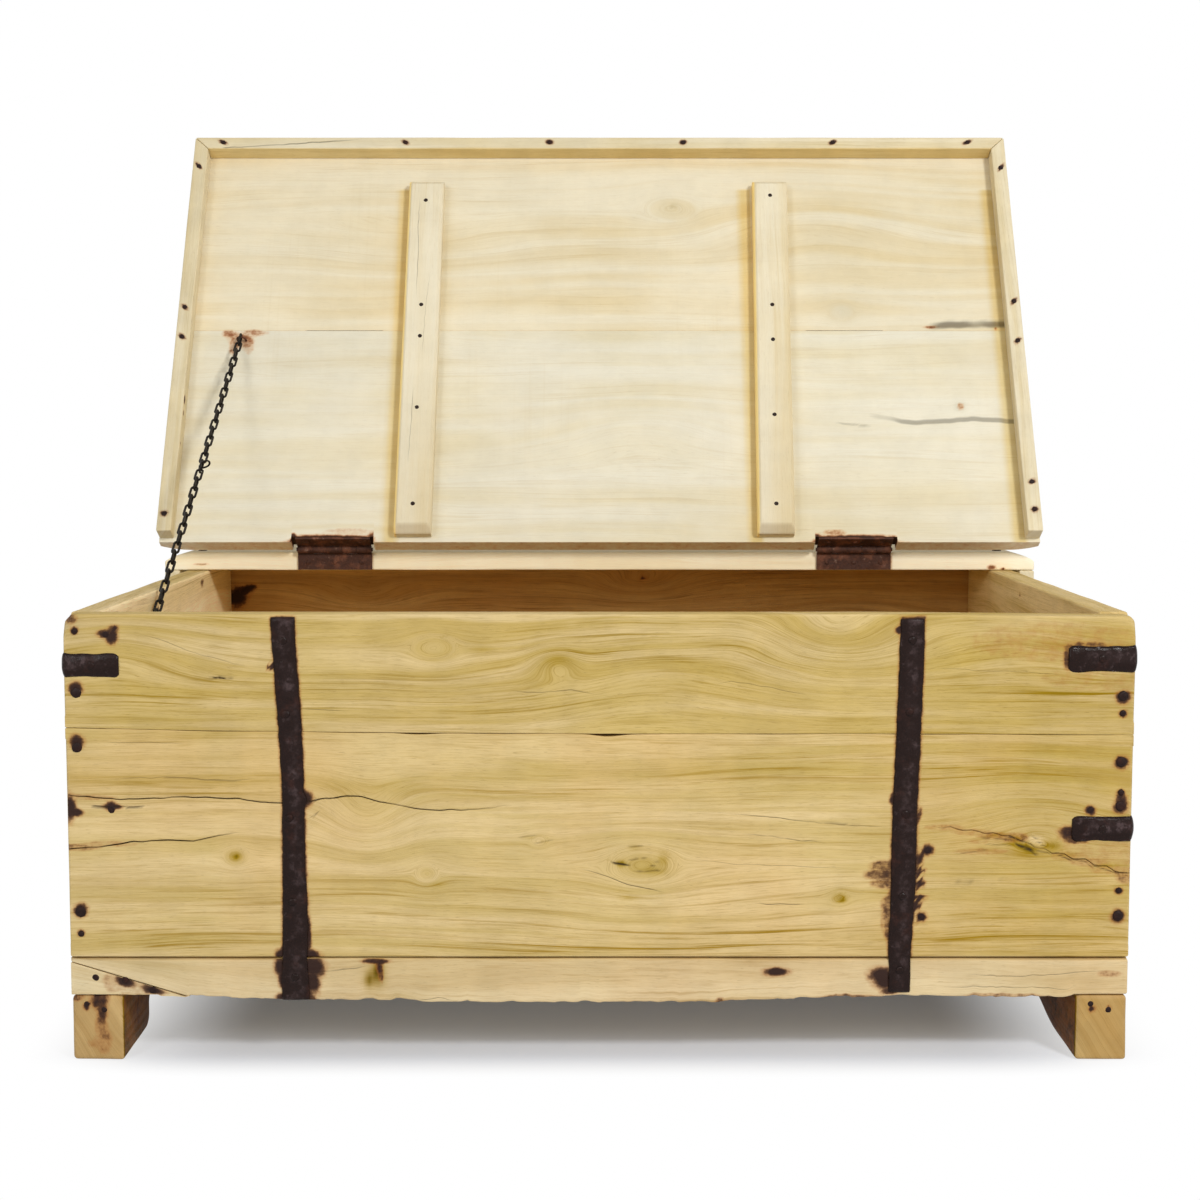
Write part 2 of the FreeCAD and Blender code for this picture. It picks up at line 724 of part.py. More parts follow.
# Chain: welded oval links, each turned a quarter from the next
def oval_link():
    """A link round the origin, long along Z and wide along X."""
    bend_radius = (link_inner_width + link_wire) / 2
    wire_radius = link_wire / 2
    bars = []
    for side in (-1, 1):
        bars.append(rod(wire_radius, V(side * bend_radius, 0, -arc_offset), Z_AXIS, 2 * arc_offset))
    for end in (-1, 1):
        bend_centre = V(0, 0, end * arc_offset)
        section_ring = Part.makeCircle(wire_radius, bend_centre + X_AXIS * bend_radius, Z_AXIS)
        section = Part.Face(Part.Wire(section_ring))
        bars.append(section.revolve(bend_centre, Y_AXIS * -end, half_turn))
    return bars[0].fuse(bars[1:]).removeSplitter()


def open_hook(link):
    """A link with its lower side cut away, so that the link below can leave it sideways."""
    half_length = link_outer_length / 2
    half_breadth = link_inner_width / 2 + link_wire
    mouth_low = link_wire * hook_tip_share - half_length
    mouth_high = half_length * hook_mouth_share
    mouth_side = -half_breadth * hook_side_share
    return link.cut(block(-overrun, mouth_side, -link_wire, link_wire, mouth_low, mouth_high))


chain_run = (lid_eye - anchor).normalize()
chain_side = X_AXIS - chain_run * X_AXIS.dot(chain_run)
chain_side.normalize()
chain_under = chain_side.cross(chain_run)
plain_link = oval_link()


def placed(link, index, turned):
    """A link at its place along the chain, counted from the anchor."""
    across, through = (chain_side, chain_under) if turned else (chain_under, chain_side * -1)
    turn = FreeCAD.Rotation(across, through, chain_run, "ZXY")
    solid = link.copy()
    solid.Placement = FreeCAD.Placement(anchor + chain_run * (arc_offset + index * chain_pitch), turn)
    return solid




def links(first, past_last):
    """A run of plain links along the chain."""
    return [placed(plain_link, index, index % 2 == 1) for index in range(first, past_last)]


pieces["chain_lower_links"] = Part.makeCompound(links(0, lower_link_count))
pieces["chain_upper_links"] = Part.makeCompound(links(lower_link_count + 1, link_count))
pieces["chain_hook"] = placed(open_hook(plain_link), lower_link_count, lower_link_count % 2 == 1)

pieces["wall_nails"] = wall_nails.shape()
pieces["strap_nails"] = strap_nails.shape()
pieces["runner_nails"] = runner_nails.shape()
pieces["floor_nails"] = floor_nails.shape()
pieces["patch_nails"] = patch_nails.shape()
pieces["rail_nails"] = rail_nails.shape()
pieces["rail_rim_nails"] = rail_rim_nails.shape()
pieces["rail_leaf_screws"] = rail_screws.shape()
pieces["chain_anchor_nail"] = anchor_group.shape()

# The origin goes under the middle of the whole object as it stands open
whole = Part.makeCompound(list(pieces.values())).BoundBox
origin = V((whole.XMin + whole.XMax) / 2, (whole.YMin + whole.YMax) / 2, whole.ZMin)
os.makedirs("parts", exist_ok=True)
for name, shape in pieces.items():
    shape.translate(origin * -1)
    shape.exportStep(f"parts/{name}.step")

print("nodes", len(pieces))
print("origin", origin.x, origin.y, origin.z)
print("hinge axis", AXIS_POINT - origin)
print("chain anchor", anchor - origin, "lid eye", lid_eye - origin, "length", chain_length)
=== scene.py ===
import json
import math

import bpy
import numpy as np
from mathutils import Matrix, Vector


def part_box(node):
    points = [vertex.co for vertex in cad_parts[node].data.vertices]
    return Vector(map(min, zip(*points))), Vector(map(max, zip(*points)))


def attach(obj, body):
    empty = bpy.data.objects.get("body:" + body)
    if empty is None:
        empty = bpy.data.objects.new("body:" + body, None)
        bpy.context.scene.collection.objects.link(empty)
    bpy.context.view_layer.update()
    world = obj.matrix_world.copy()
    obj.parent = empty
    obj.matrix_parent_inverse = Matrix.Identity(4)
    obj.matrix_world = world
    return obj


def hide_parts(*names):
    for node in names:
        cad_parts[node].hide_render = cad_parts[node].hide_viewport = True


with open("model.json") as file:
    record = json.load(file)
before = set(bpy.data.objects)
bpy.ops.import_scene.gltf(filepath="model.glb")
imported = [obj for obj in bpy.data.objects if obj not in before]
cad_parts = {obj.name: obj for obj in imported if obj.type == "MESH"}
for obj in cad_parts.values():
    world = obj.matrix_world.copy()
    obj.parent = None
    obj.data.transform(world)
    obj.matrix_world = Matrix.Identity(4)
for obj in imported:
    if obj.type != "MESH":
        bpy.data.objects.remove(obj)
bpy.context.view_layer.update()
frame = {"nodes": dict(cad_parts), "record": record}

# Lengths are in millimetres in the chest's own frame: X to the right, Y back from the front wall's
# face, Z up from the floor. They become metres in the row's frame when a mesh is made.
MM = 0.001
FRONT_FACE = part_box("front_top_board")[0][1]
BODY_HALF, BODY_DEPTH = 550, 794
FLOOR_LOW, FLOOR_TOP, WALL_TOP, PANEL_TOP = 70, 110, 468, 492
# The lid, which the frame holds turned open
PANEL_HALF, LID_FRONT, LID_SEAM, LID_REAR, RAIL_FRONT = 578, -28, 279.5, 602.5, 605
AXIS_Y, AXIS_Z, OPEN_ANGLE = 599.75, 496, 119
HINGE_MIDDLES, MORTISE_REACH, MORTISE_BACK = (-351, 337), 54, 594.5
SIDES = (-1, 1)


def cad(node):
    """The lowest and highest corner of a CAD node, in the chest's own frame."""
    return [(np.array(corner) - [0, FRONT_FACE, 0]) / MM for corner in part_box(node)]


def turned_open(points):
    """Points of the shut lid, turned to where the lid stands open."""
    angle = math.radians(-OPEN_ANGLE)
    c, s = math.cos(angle), math.sin(angle)
    y, z = points[:, 1] - AXIS_Y, points[:, 2] - AXIS_Z
    return np.stack([points[:, 0], AXIS_Y + c * y - s * z, AXIS_Z + s * y + c * z], 1)


# Noise and other fields
def lattice(ix, iy, iz, seed):
    """A repeatable value from 0 to 1 for each whole-numbered place."""
    n = (ix * 374761393 + iy * 668265263 + iz * 1440662683 + seed * 974634777) & 0xFFFFFFFF
    n = ((n ^ (n >> 13)) * 1274126177) & 0xFFFFFFFF
    n = ((n ^ (n >> 15)) * 2246822519) & 0xFFFFFFFF
    n = n ^ (n >> 16)
    return (n & 0xFFFFFF) / 0xFFFFFF


def noise(points, size, seed):
    """Smooth noise from -1 to 1. size is the length of one wave along each axis."""
    q = np.asarray(points, float) / size
    whole = np.floor(q).astype(np.int64)
    part = q - whole
    part = part * part * part * (part * (part * 6 - 15) + 10)
    total = np.zeros(len(q))
    for corner in np.ndindex(2, 2, 2):
        total += np.where(corner, part, 1 - part).prod(1) * lattice(*(whole + corner).T, seed)
    return total * 2 - 1


def layered(points, size, seed, layers):
    """Noise with finer and finer layers."""
    total, weights = 0.0, [0.5**layer for layer in range(layers)]
    for layer, weight in enumerate(weights):
        total = total + weight * noise(points, np.divide(size, 2**layer), seed + 17 * layer)
    return total / sum(weights)


def ripple(u, size, seed, level=0.0):
    """Noise along a line."""
    return noise(np.stack([u, level + 0 * u, 0 * u], 1), (size, 1, 1), seed)


def smooth(x, low, high):
    """Goes from 0 at low to 1 at high."""
    t = np.clip((x - low) / (high - low), 0, 1)
    return t * t * (3 - 2 * t)


def band(x, a, b, c, d):
    """0 at a, 1 from b to c, 0 at d."""
    return smooth(x, a, b) * smooth(-x, -d, -c)


def hump(a, b, at_a, at_b, reach_a, reach_b):
    """1 at a place, falling away round it."""
    return np.exp(-(((a - at_a) / reach_a) ** 2) - ((b - at_b) / reach_b) ** 2)


def first(values):
    """A field whose first part alone is used."""
    return np.stack([values, 0 * values, 0 * values], 1)


# Meshes
EDGE_STEPS = np.array([0, 0.5, 1.2, 2.2, 3.6, 5.5, 8, 11.5])
LEAST_STEP = 0.25


def lines(low, high, step, extra=()):
    """Grid lines between two ends, close together near each end and at the extra places."""
    near = EDGE_STEPS[EDGE_STEPS <= (high - low) / 3]
    count = max(1, round((high - low - 2 * near[-1]) / step))
    even = np.linspace(low + near[-1], high - near[-1], count + 1)
    places = np.unique(np.round(np.concatenate([low + near, high - near, even, extra]), 3))
    places = places[(places >= low) & (places <= high)]
    kept = [places[0]]
    for place in places[1:]:
        if place - kept[-1] > LEAST_STEP:
            kept.append(place)
    kept[-1] = high
    return np.array(kept)


def box_grid(gx, gy, gz):
    """The surface of a box as a grid: its points, and its faces turned outward."""
    shape = (len(gx), len(gy), len(gz))
    on = np.zeros(shape, bool)
    on[[0, -1]] = on[:, [0, -1]] = on[:, :, [0, -1]] = True
    ids = np.full(shape, -1)
    ids[on] = np.arange(on.sum())
    points = np.stack(np.meshgrid(gx, gy, gz, indexing="ij"), -1)[on]
    faces = []
    for axis in (2, 1, 0):
        for end in (0, -1):
            sheet = ids.take(end, axis)
            quads = np.stack([sheet[:-1, :-1], sheet[1:, :-1], sheet[1:, 1:], sheet[:-1, 1:]], -1).reshape(-1, 4)
            faces.append(quads[:, ::-1] if (end == 0) != (axis == 1) else quads)
    return points, np.concatenate(faces)


def rounded(points, low, high, radius):
    """Points of a box with its edges rounded, and the outward direction at each."""
    radius = radius[:, None]
    core = np.clip(points, low + radius, high - radius)
    away = points - core
    away /= np.maximum(np.linalg.norm(away, axis=1), 1e-9)[:, None]
    return core + away * radius, away


def make(name, points, faces, material, body, nodes=(), fields=None):
    """A piece of the object from points in the chest's own frame."""
    if body == "lid":
        points = turned_open(points)
    metres = points * MM + [0, FRONT_FACE, 0]
    mesh = bpy.data.meshes.new(name)
    mesh.vertices.add(len(metres))
    mesh.vertices.foreach_set("co", metres.astype(np.float32).ravel())
    mesh.loops.add(faces.size)
    mesh.loops.foreach_set("vertex_index", faces.astype(np.int32).ravel())
    mesh.polygons.add(len(faces))
    mesh.polygons.foreach_set("loop_start", np.arange(0, faces.size, faces.shape[1], dtype=np.int32))
    mesh.update(calc_edges=True)
    mesh.validate()
    mesh.polygons.foreach_set("use_smooth", np.ones(len(mesh.polygons), bool))
    for field, values in (fields or {}).items():
        made = mesh.attributes.new(field, "FLOAT_VECTOR", "POINT")
        made.data.foreach_set("vector", np.asarray(values, np.float32).ravel())
    mesh.materials.append(material)
    piece = bpy.data.objects.new(name, mesh)
    bpy.context.scene.collection.objects.link(piece)
    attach(piece, body)
    if nodes:
        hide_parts(*nodes)


# Materials
def srgb(*colour):
    """A colour as it looks on a screen, made linear."""
    shares = [value / 255 for value in colour]
    return (*(v / 12.92 if v <= 0.04045 else ((v + 0.055) / 1.055) ** 2.4 for v in shares), 1.0)


class Nodes:
    """A node tree, with short ways to add to it."""

    def __init__(self, owner):
        owner.use_nodes = True
        self.tree = owner.node_tree
        self.tree.nodes.clear()

    def add(self, kind, sockets, **settings):
        """A new node with its settings, and with a value or a link on each named socket."""
        node = self.tree.nodes.new("ShaderNode" + kind)
        for key, value in settings.items():
            setattr(node, key, value)
        for key, value in sockets.items():
            if isinstance(value, bpy.types.NodeSocket):
                self.tree.links.new(value, node.inputs[key])
            else:
                node.inputs[key].default_value = value
        return node.outputs

    def attribute(self, name):
        return self.add("Attribute", {}, attribute_name=name)["Vector"]

    def place(self):
        return self.add("TexCoord", {})["Object"]

    def split(self, vector):
        return self.add("SeparateXYZ", {0: vector})

    def noise(self, vector, scale, detail, rough, distort=0.0):
        sockets = {"Vector": vector, "Scale": scale, "Detail": detail, "Roughness": rough, "Distortion": distort}
        return self.add("TexNoise", sockets)["Fac"]

    def math(self, operation, a, b=0.0):
        return self.add("Math", {0: a, 1: b}, operation=operation)[0]

    def times(self, a, b):
        return self.math("MULTIPLY", a, b)

    def plus(self, a, b):
        return self.math("ADD", a, b)

    def span(self, value, low, high, to_low=0.0, to_high=1.0):
        """Goes smoothly from one value at low to another at high."""
        sockets = {"Value": value, "From Min": low, "From Max": high, "To Min": to_low, "To Max": to_high}
        return self.add("MapRange", sockets, interpolation_type="SMOOTHSTEP")["Result"]

    def mix(self, amount, a, b, kind="MIX"):
        return self.add("Mix", {"Factor": amount, "A": a, "B": b}, data_type="RGBA", blend_type=kind)["Result"]

    def bright(self, colour, value, saturation=1.0):
        return self.add("HueSaturation", {"Color": colour, "Value": value, "Saturation": saturation})["Color"]

    def seen(self):
        """1 on rays that show a thing: straight from the camera, mirrored or through glass."""
        path = self.add("LightPath", {})
        direct = self.math("MAXIMUM", path["Is Camera Ray"], path["Is Glossy Ray"])
        return self.math("MAXIMUM", direct, path["Is Transmission Ray"])

    def shader(self, colour, rough, specular, **more):
        sockets = {"Base Color": colour, "Roughness": rough, "Specular IOR Level": specular, **more}
        return self.add("BsdfPrincipled", sockets)["BSDF"]

    def surface(self, colour, rough, specular, relief, strength):
        """The material's end: a plain shader with a bump."""
        normal = self.add("Bump", {"Strength": strength, "Distance": 0.0012, "Height": relief})["Normal"]
        self.add("OutputMaterial", {"Surface": self.shader(colour, rough, specular, Normal=normal)})


DARK_STAIN = (srgb(166, 100, 44), srgb(66, 35, 24))
RUSTY_STAIN = (srgb(212, 150, 84), srgb(152, 84, 38))
STAIN_HEART, PORE, CRACK_SHADE = srgb(42, 25, 22), srgb(126, 92, 38), srgb(54, 40, 20)
# A warm tint painted where shade falls: beside the lid's battens and right rim, on the battens' left sides and on the
# front rim's inner face
SHADE_TINT_COLOUR = srgb(250, 232, 176)
WOOD_ROUGH = 0.62


def wood(name, slot, colours, contrast=1.0, saw=0.0, broad=1.0, mottled=0.05, rust=DARK_STAIN):
    """Wood whose grain follows the grain field, with the stains and cracks of the marks field.

    The colours are pale wood, deep wood, grain lines and a tint."""
    pale, deep, line, tint = (srgb(*colour) for colour in colours)
    material = bpy.data.materials.new(name)
    n = Nodes(material)
    grain, place = n.attribute("grain"), n.place()
    stain, crack, tone = n.split(n.attribute("marks"))
    # The figure field holds the grain's figure first, then how much of the warm painted shade tint a point takes
    figure, painted_tint, _ = n.split(n.attribute("figure"))

    def drawn(along, across, shift, *more):
        """Noise drawn out along the grain."""
        sockets = {0: grain, 1: (along, across, 1), 2: shift}
        return n.noise(n.add("VectorMath", sockets, operation="MULTIPLY_ADD")[0], 1.0, *more)

    bands = drawn(2.2 / broad, 58 / broad, (0, 0, 0), 2, 0.55, 0.35)
    strong = n.plus(n.span(drawn(2.4, 15, (9.2, 4.4, 7.7), 2, 0.5), 0.36, 0.66, 0.35, 1.35), figure)
    soft = drawn(1.7, 26, (5.5, 2.2, 8.1), 4, 0.62, 0.7)
    rings = drawn(4.5, 210, (3.1, 0.7, 1.9), 3, 0.62, 0.8)
    thin = drawn(9, 560, (6.1, 3.7, 2.9), 2, 0.6, 0.6)
    fibre = drawn(38, 1500, (1.7, 5.1, 0.3), 2, 0.6)
    pores = drawn(95, 2300, (8.7, 2.1, 4.3), 1, 0.5)
    colour = n.mix(n.span(bands, 0.34, 0.66), pale, deep)
    colour = n.mix(n.span(n.noise(place, 4.6, 3, 0.55), 0.42, 0.7, 0, 0.55), colour, tint)
    colour = n.mix(n.span(soft, 0.5, 0.74, 0, 0.34 * contrast), colour, line)
    colour = n.mix(n.times(n.span(rings, 0.5, 0.76, 0, 0.62 * contrast), strong), colour, line)
    colour = n.mix(n.times(n.span(thin, 0.53, 0.77, 0, 0.4 * contrast), strong), colour, line)
    colour = n.mix(n.span(fibre, 0.46, 0.74, 0, 0.36 * contrast), colour, line)
    colour = n.mix(n.span(pores, 0.65, 0.78, 0, 0.45 * contrast), colour, PORE)
    if saw:
        sawn = n.span(drawn(260, 3, (0.4, 6.6, 2.2), 1, 0.5), 0.5, 0.8, 0, saw)
        colour = n.mix(n.times(sawn, n.span(n.noise(place, 5, 2, 0.5), 0.48, 0.7)), colour, line)
    mottle = n.span(n.noise(place, 26, 3, 0.6), 0.25, 0.75, 1 - mottled, 1 + mottled)
    # The tone lightens or darkens the wood: its own drift and marks, and on some faces painted light and shade
    duller = n.plus(n.times(tone, 0.15), n.times(n.math("MINIMUM", tone, 0.0), 0.25))
    colour = n.bright(colour, n.plus(n.times(tone, 0.5), mottle), n.math("SUBTRACT", 1.0, duller))
    # The warm painted shade tint, where a piece asks for it
    colour = n.mix(painted_tint, colour, SHADE_TINT_COLOUR, "MULTIPLY")
    coarse = n.span(n.noise(place, 85, 3, 0.65), 0.2, 0.8, -0.2, 0.2)
    fine = n.span(drawn(150, 500, (0, 0, 0), 2, 0.6), 0.2, 0.8, -0.06, 0.06)
    ragged = n.plus(stain, n.plus(coarse, fine))
    colour = n.mix(n.span(ragged, -0.62, 0.06, 0, 0.55), colour, rust[0])
    colour = n.mix(n.span(ragged, -0.2, 0.16, 0, 0.85), colour, rust[1])
    colour = n.mix(n.span(ragged, 0.05, 0.4, 0, 0.9), colour, STAIN_HEART)
    colour = n.mix(crack, colour, CRACK_SHADE)
    relief = n.plus(n.plus(n.times(rings, 0.9), n.times(fibre, 0.55)), n.times(thin, -0.7))
    relief = n.plus(relief, n.span(pores, 0.64, 0.78, 0, -0.3))
    n.surface(colour, n.span(rings, 0.3, 0.75, WOOD_ROUGH - 0.07, WOOD_ROUGH + 0.12), 0.16, relief, 0.35)
    return material


def iron(name, dark, rust, worn_and_highlight, rust_share, rough, hammer=1.0):
    """Old forged iron: dark scale, patches of rust, worn paler patches, a painted highlight where a piece asks for
    one, and hammer marks.
    """
    material = bpy.data.materials.new(name)
    n = Nodes(material)
    place = n.place()
    patch, grit = n.noise(place, 55, 4, 0.62), n.noise(place, 420, 3, 0.65)
    worn = n.noise(place, 130, 3, 0.6)
    dents = n.add("TexVoronoi", {"Vector": place, "Scale": 90})["Distance"]
    painted_highlight = n.split(n.attribute("painted_highlight"))[0]
    low = 0.72 - 0.4 * rust_share
    colour = n.mix(n.span(patch, low, low + 0.2), srgb(*dark), srgb(*rust))
    colour = n.mix(n.span(worn, 0.6, 0.75, 0, 0.6), colour, srgb(*worn_and_highlight))
    # Painted highlight along the crown of the straps and corner irons
    colour = n.mix(n.times(painted_highlight, n.span(worn, 0.44, 0.64, 0.1, 0.8)), colour, srgb(*worn_and_highlight))
    colour = n.bright(colour, n.span(grit, 0.25, 0.75, 0.78, 1.22))
    relief = n.plus(n.times(dents, hammer), n.times(grit, 0.35))
    n.surface(colour, n.span(patch, 0.3, 0.75, rough - 0.12, rough + 0.2), 0.13, relief, 0.75)
    return material


WALL_WOOD = wood("wall_wood", "wall_wood", ((223, 198, 146), (203, 176, 112), (158, 127, 46), (209, 183, 115)))
LOWER_WOOD = wood("lower_wood", "wall_wood", ((223, 197, 142), (205, 179, 115), (164, 130, 50), (221, 187, 129)))
RIGHT_WOOD = wood("right_wood", "wall_wood", ((220, 193, 133), (200, 170, 100), (150, 118, 42), (206, 176, 106)))
INNER_WOOD = wood("inner_wood", "wall_wood", ((204, 162, 92), (184, 138, 66), (132, 90, 34), (192, 142, 74)), 1.2)
BASE_WOOD = wood("base_wood", "base_wood", ((225, 203, 158), (213, 188, 139), (172, 136, 78), (221, 188, 139)), 0.7)
PATCH_WOOD = wood("patch_wood", "base_wood", ((230, 211, 168), (220, 197, 150), (184, 150, 92), (228, 202, 152)), 0.7)
FOOT_WOOD = wood("foot_wood", "base_wood", ((200, 168, 112), (184, 150, 94), (146, 110, 56), (190, 152, 96)), 0.8)
SANDED = (0.08, 2.0, 0.03, RUSTY_STAIN)
LID_COLOURS = ((238, 227, 198), (230, 212, 170), (206, 178, 116), (240, 229, 200))
LID_WOOD = wood("lid_wood", "lid_wood", LID_COLOURS, 0.4, *SANDED)
PALE_COLOURS = ((240, 233, 210), (234, 222, 188), (210, 186, 134), (241, 234, 213))
PALE_WOOD = wood("pale_wood", "lid_wood", PALE_COLOURS, 0.36, *SANDED)
RIM_WOOD = wood("rim_wood", "lid_wood", ((234, 221, 188), (225, 208, 166), (194, 168, 110), (234, 223, 194)), 0.6)
STRAP_IRON = iron("strap_iron", (32, 18, 14), (50, 27, 20), (74, 59, 58), 0.45, 0.28)
HINGE_IRON = iron("hinge_iron", (74, 48, 38), (112, 72, 54), (146, 116, 100), 0.7, 0.6)
NAIL_IRON = iron("nail_iron", (38, 23, 20), (58, 33, 26), (62, 48, 46), 0.5, 0.5)
SCREW_IRON = iron("screw_iron", (46, 34, 29), (60, 40, 31), (82, 72, 66), 0.35, 0.5)
CHAIN_IRON = iron("chain_iron", (34, 29, 23), (50, 36, 26), (70, 62, 54), 0.3, 0.45, 0.2)


# Wood fields
def grain_field(points, along, across, seed, swirls, knots, warp):
    """Where each point lies in the wood: along the grain, across the rings, and which tree."""
    u, v, through = points[:, along], points[:, across], points[:, 3 - along - across]
    size = np.full(3, 60.0)
    size[along] = 330
    bend = warp * layered(points, size, seed, 3) + 0.55 * through
    for *place, rise in swirls:
        bend = bend + rise * hump(u, v, *place)
    for at_u, at_v, reach_u, reach_v in knots:
        far = ((u - at_u) / reach_u) ** 2 + ((v - at_v) / reach_v) ** 2
        round_it = -(v - at_v) / np.maximum(far, 1)
        inside = (1 - np.sqrt(np.minimum(far, 1))) * reach_v * 1.4
        fade = np.exp(-np.maximum(far - 1, 0) / 30)
        bend = bend + np.where(far < 1, round_it + inside, round_it * fade)
    return np.stack([u * MM, (v + bend) * MM, np.full(len(u), 3.7 * seed)], 1)


def spots_field(a, b, spots):
    """How deep each point lies in a stain: 1 at its middle, 0 at its edge and less outside."""
    depth = np.full(len(a), -1.0)
    for at_a, at_b, reach_a, reach_b, *most in spots:
        inside = 1 - np.sqrt(((a - at_a) / reach_a) ** 2 + ((b - at_b) / reach_b) ** 2)
        depth = np.maximum(depth, np.minimum(inside, *most) if most else inside)
    return depth


def stained(spots, axis, face, least=0.2):
    """Stains on the side of a board that faces along an axis, as places along its other two axes."""
    def field(points, away):
        a, b = (points[:, i] for i in range(3) if i != axis)
        return np.where(away[:, axis] * face > least, spots_field(a, b, spots), -1.0)
    return field


def faced(axis, face, amount):
    """An amount on the side of a board that faces along an axis."""
    return lambda points, away: amount * np.clip(away[:, axis] * face, 0, 1)


class Crack:
    """A crack along the grain: its places along and across, half width, depth and how dark it is."""

    def __init__(self, path, width, depth, dark=1.0, reach=14):
        self.along, self.across = np.array(path, float).T
        self.start, self.end = self.along[[0, -1]]
        self.level = (self.across.min() + self.across.max()) / 2
        self.width, self.depth, self.dark = width, depth, dark
        self.reach = max(reach, 2.2 * np.ptp(self.across))

    def grid_places(self):
        return self.level + self.width * np.array([-2.4, -1, -0.5, 0, 0.5, 1, 2.4])

    def line(self, u):
        return np.interp(u, self.along, self.across) + 0.7 * ripple(u, 11, 7, self.level)

    def bend(self, u, v):
        """Draws the grid's lines near the crack onto it, with the board's own edges left where they are."""
        room = np.minimum(self.reach, np.where(v > self.level, v.max() - self.level, self.level - v.min()))
        near = smooth(-np.abs(v - self.level) / room, -1, -0.12)
        return v + (self.line(u) - self.level) * near * band(u, self.start - 30, self.start, self.end, self.end + 30)

    def open_share(self, u):
        """How far the crack is open along its run, full at a board's end and closing elsewhere."""
        taper, edge = 0.22 * (self.end - self.start), BODY_HALF - 5
        start = 1.0 if self.start < -edge else np.clip((u - self.start) / taper, 0, 1)
        end = 1.0 if self.end > edge else np.clip((self.end - u) / taper, 0, 1)
        uneven = np.clip(0.8 + 0.45 * ripple(u, 26, 13, self.level), 0, 1)
        return np.where((u >= self.start) & (u <= self.end), np.minimum(start, end) * uneven, 0.0)

    def cut(self, u, v):
        """How much of the crack's depth each point has, from 0 to 1."""
        return np.clip(1.5 * (1 - np.abs(v - self.line(u)) / self.width), 0, 1) * self.open_share(u)


def crack_marks(cracks, u, v, on_face):
    """How far each point is sunk by the cracks, and how dark they make it."""
    sunk, split = np.zeros(len(u)), np.zeros(len(u))
    for crack in cracks:
        cut = crack.cut(u, v) * on_face
        sunk = np.maximum(sunk, crack.depth * cut)
        split = np.maximum(split, crack.dark * np.clip(cut * 1.4, 0, 1))
    return sunk, split


def face_tone(away, points, seed):
    """Paler where edges are rubbed, with a slow drift over the board."""
    return 0.55 * (1 - np.abs(away).max(1)) + 0.06 * layered(points, (160, 160, 160), seed + 5, 2)


# Nails of the front wall, as the frame has them, and old ones with no part in it: place and radius
def wall_level(share):
    return WALL_TOP - (WALL_TOP - FLOOR_TOP) * share


NAIL_INSET = 12
FRONT_NAILS = [
    (side * (BODY_HALF - NAIL_INSET), wall_level(share), radius)
    for side, radius, shares in (
        (-1, 6, (0.226, 0.385, 0.866)), (-1, 3.5, (0.05, 0.931)),
        (1, 6, (0.236, 0.427, 0.556, 0.878)), (1, 3.5, (0.285, 0.515, 0.804)),
    )
    for share in shares
]
OLD_NAILS = [(-503.9, 265, 4.5), (-506, 447, 4), (506.7, 265, 4.5), (339.3, 223, 5), (334, 152.5, 4.5)]

# Stains: middle, reach along and up, and the most depth where a stain is no more than a brown tinge
FRONT_STAINS = [(x, z, 1.2 * r, 1.15 * r) for x, z, r in FRONT_NAILS + OLD_NAILS]
FRONT_STAINS += [
    (-500, 444, 6, 8.5), (-508, 446.5, 7, 4, 0.15), (-497, 452, 4.5, 4.5), (-542, 463, 6, 5, 0.1),
    (-547, 262, 6, 13), (-541, 258, 7, 4), (-503, 264.5, 9, 3), (-338, 412, 3.5, 3.5), (-303, 275, 7, 8),
    (-303, 133, 3.6, 20), (-330.5, 112, 6, 7), (-300, 111, 11, 6), (482, 425, 6, 12, 0.15), (500, 437, 24, 3, 0),
    (484, 241, 9, 7, 0.4), (494, 233, 12, 3, 0.1), (538, 277, 6, 6, 0.2), (303.5, 276, 4.5, 6),
    (329, 262, 4, 6, 0.2), (330, 214, 5, 6), (331, 201, 6.5, 4), (331, 188, 6, 4.5), (332, 173, 7.5, 3),
    (329, 164, 5, 5), (293, 206, 11, 5, 0.05), (290, 197, 12, 5, 0.12), (293, 188, 10, 4.5, 0.05),
    (298, 166, 5, 8, 0.1), (297, 150, 4, 16, 0), (306.5, 452, 3.5, 4), (356, 246.5, 15, 2.4, -0.24),
    (384, 242, 16, 2.6, -0.24), (408, 238, 14, 3, -0.2), (428, 236.5, 12, 4, -0.1), (395, 221.5, 20, 2.4, -0.25),
    (486, 216.5, 15, 3.4, -0.24), (508, 210, 15, 3.4, -0.2), (530, 202, 16, 3.2, -0.2), (546, 196, 8, 7, -0.15),
    (400, 232, 14, 2, -0.3), (470, 441, 60, 14, -0.38), (510, 402, 36, 8, -0.42), (520, 222, 30, 12, -0.4),
    (-540, 222.5, 18, 2.6, -0.15), (-505, 226.5, 20, 2.2, -0.22), (-530, 274, 22, 2.2, -0.22),
]

# Edges of the two long straps up the front: level, left edge, right edge
LEFT_STRAP = np.array([
    (65, -330, -301.5), (107, -329.5, -303.5), (140, -328.6, -302.4), (200, -327.8, -304.2),
    (268, -327.2, -304.6), (276, -327.2, -301.8), (285, -327.2, -304.8), (330, -329, -305.8), (380, -331.7, -308),
    (425, -334.5, -311), (465, -336.5, -312.5),
])
RIGHT_STRAP = np.array([
    (73, 300.2, 322.6), (110, 300.4, 323), (170, 301.4, 325.6), (190, 301.4, 327.4), (225, 302, 327.6),
    (275, 303.5, 328.2), (340, 305.5, 330.2), (400, 307.5, 332), (465, 309, 333),
])


def strap_edges(strap, z):
    return (np.interp(z, strap[:, 0], strap[:, edge]) for edge in (1, 2))


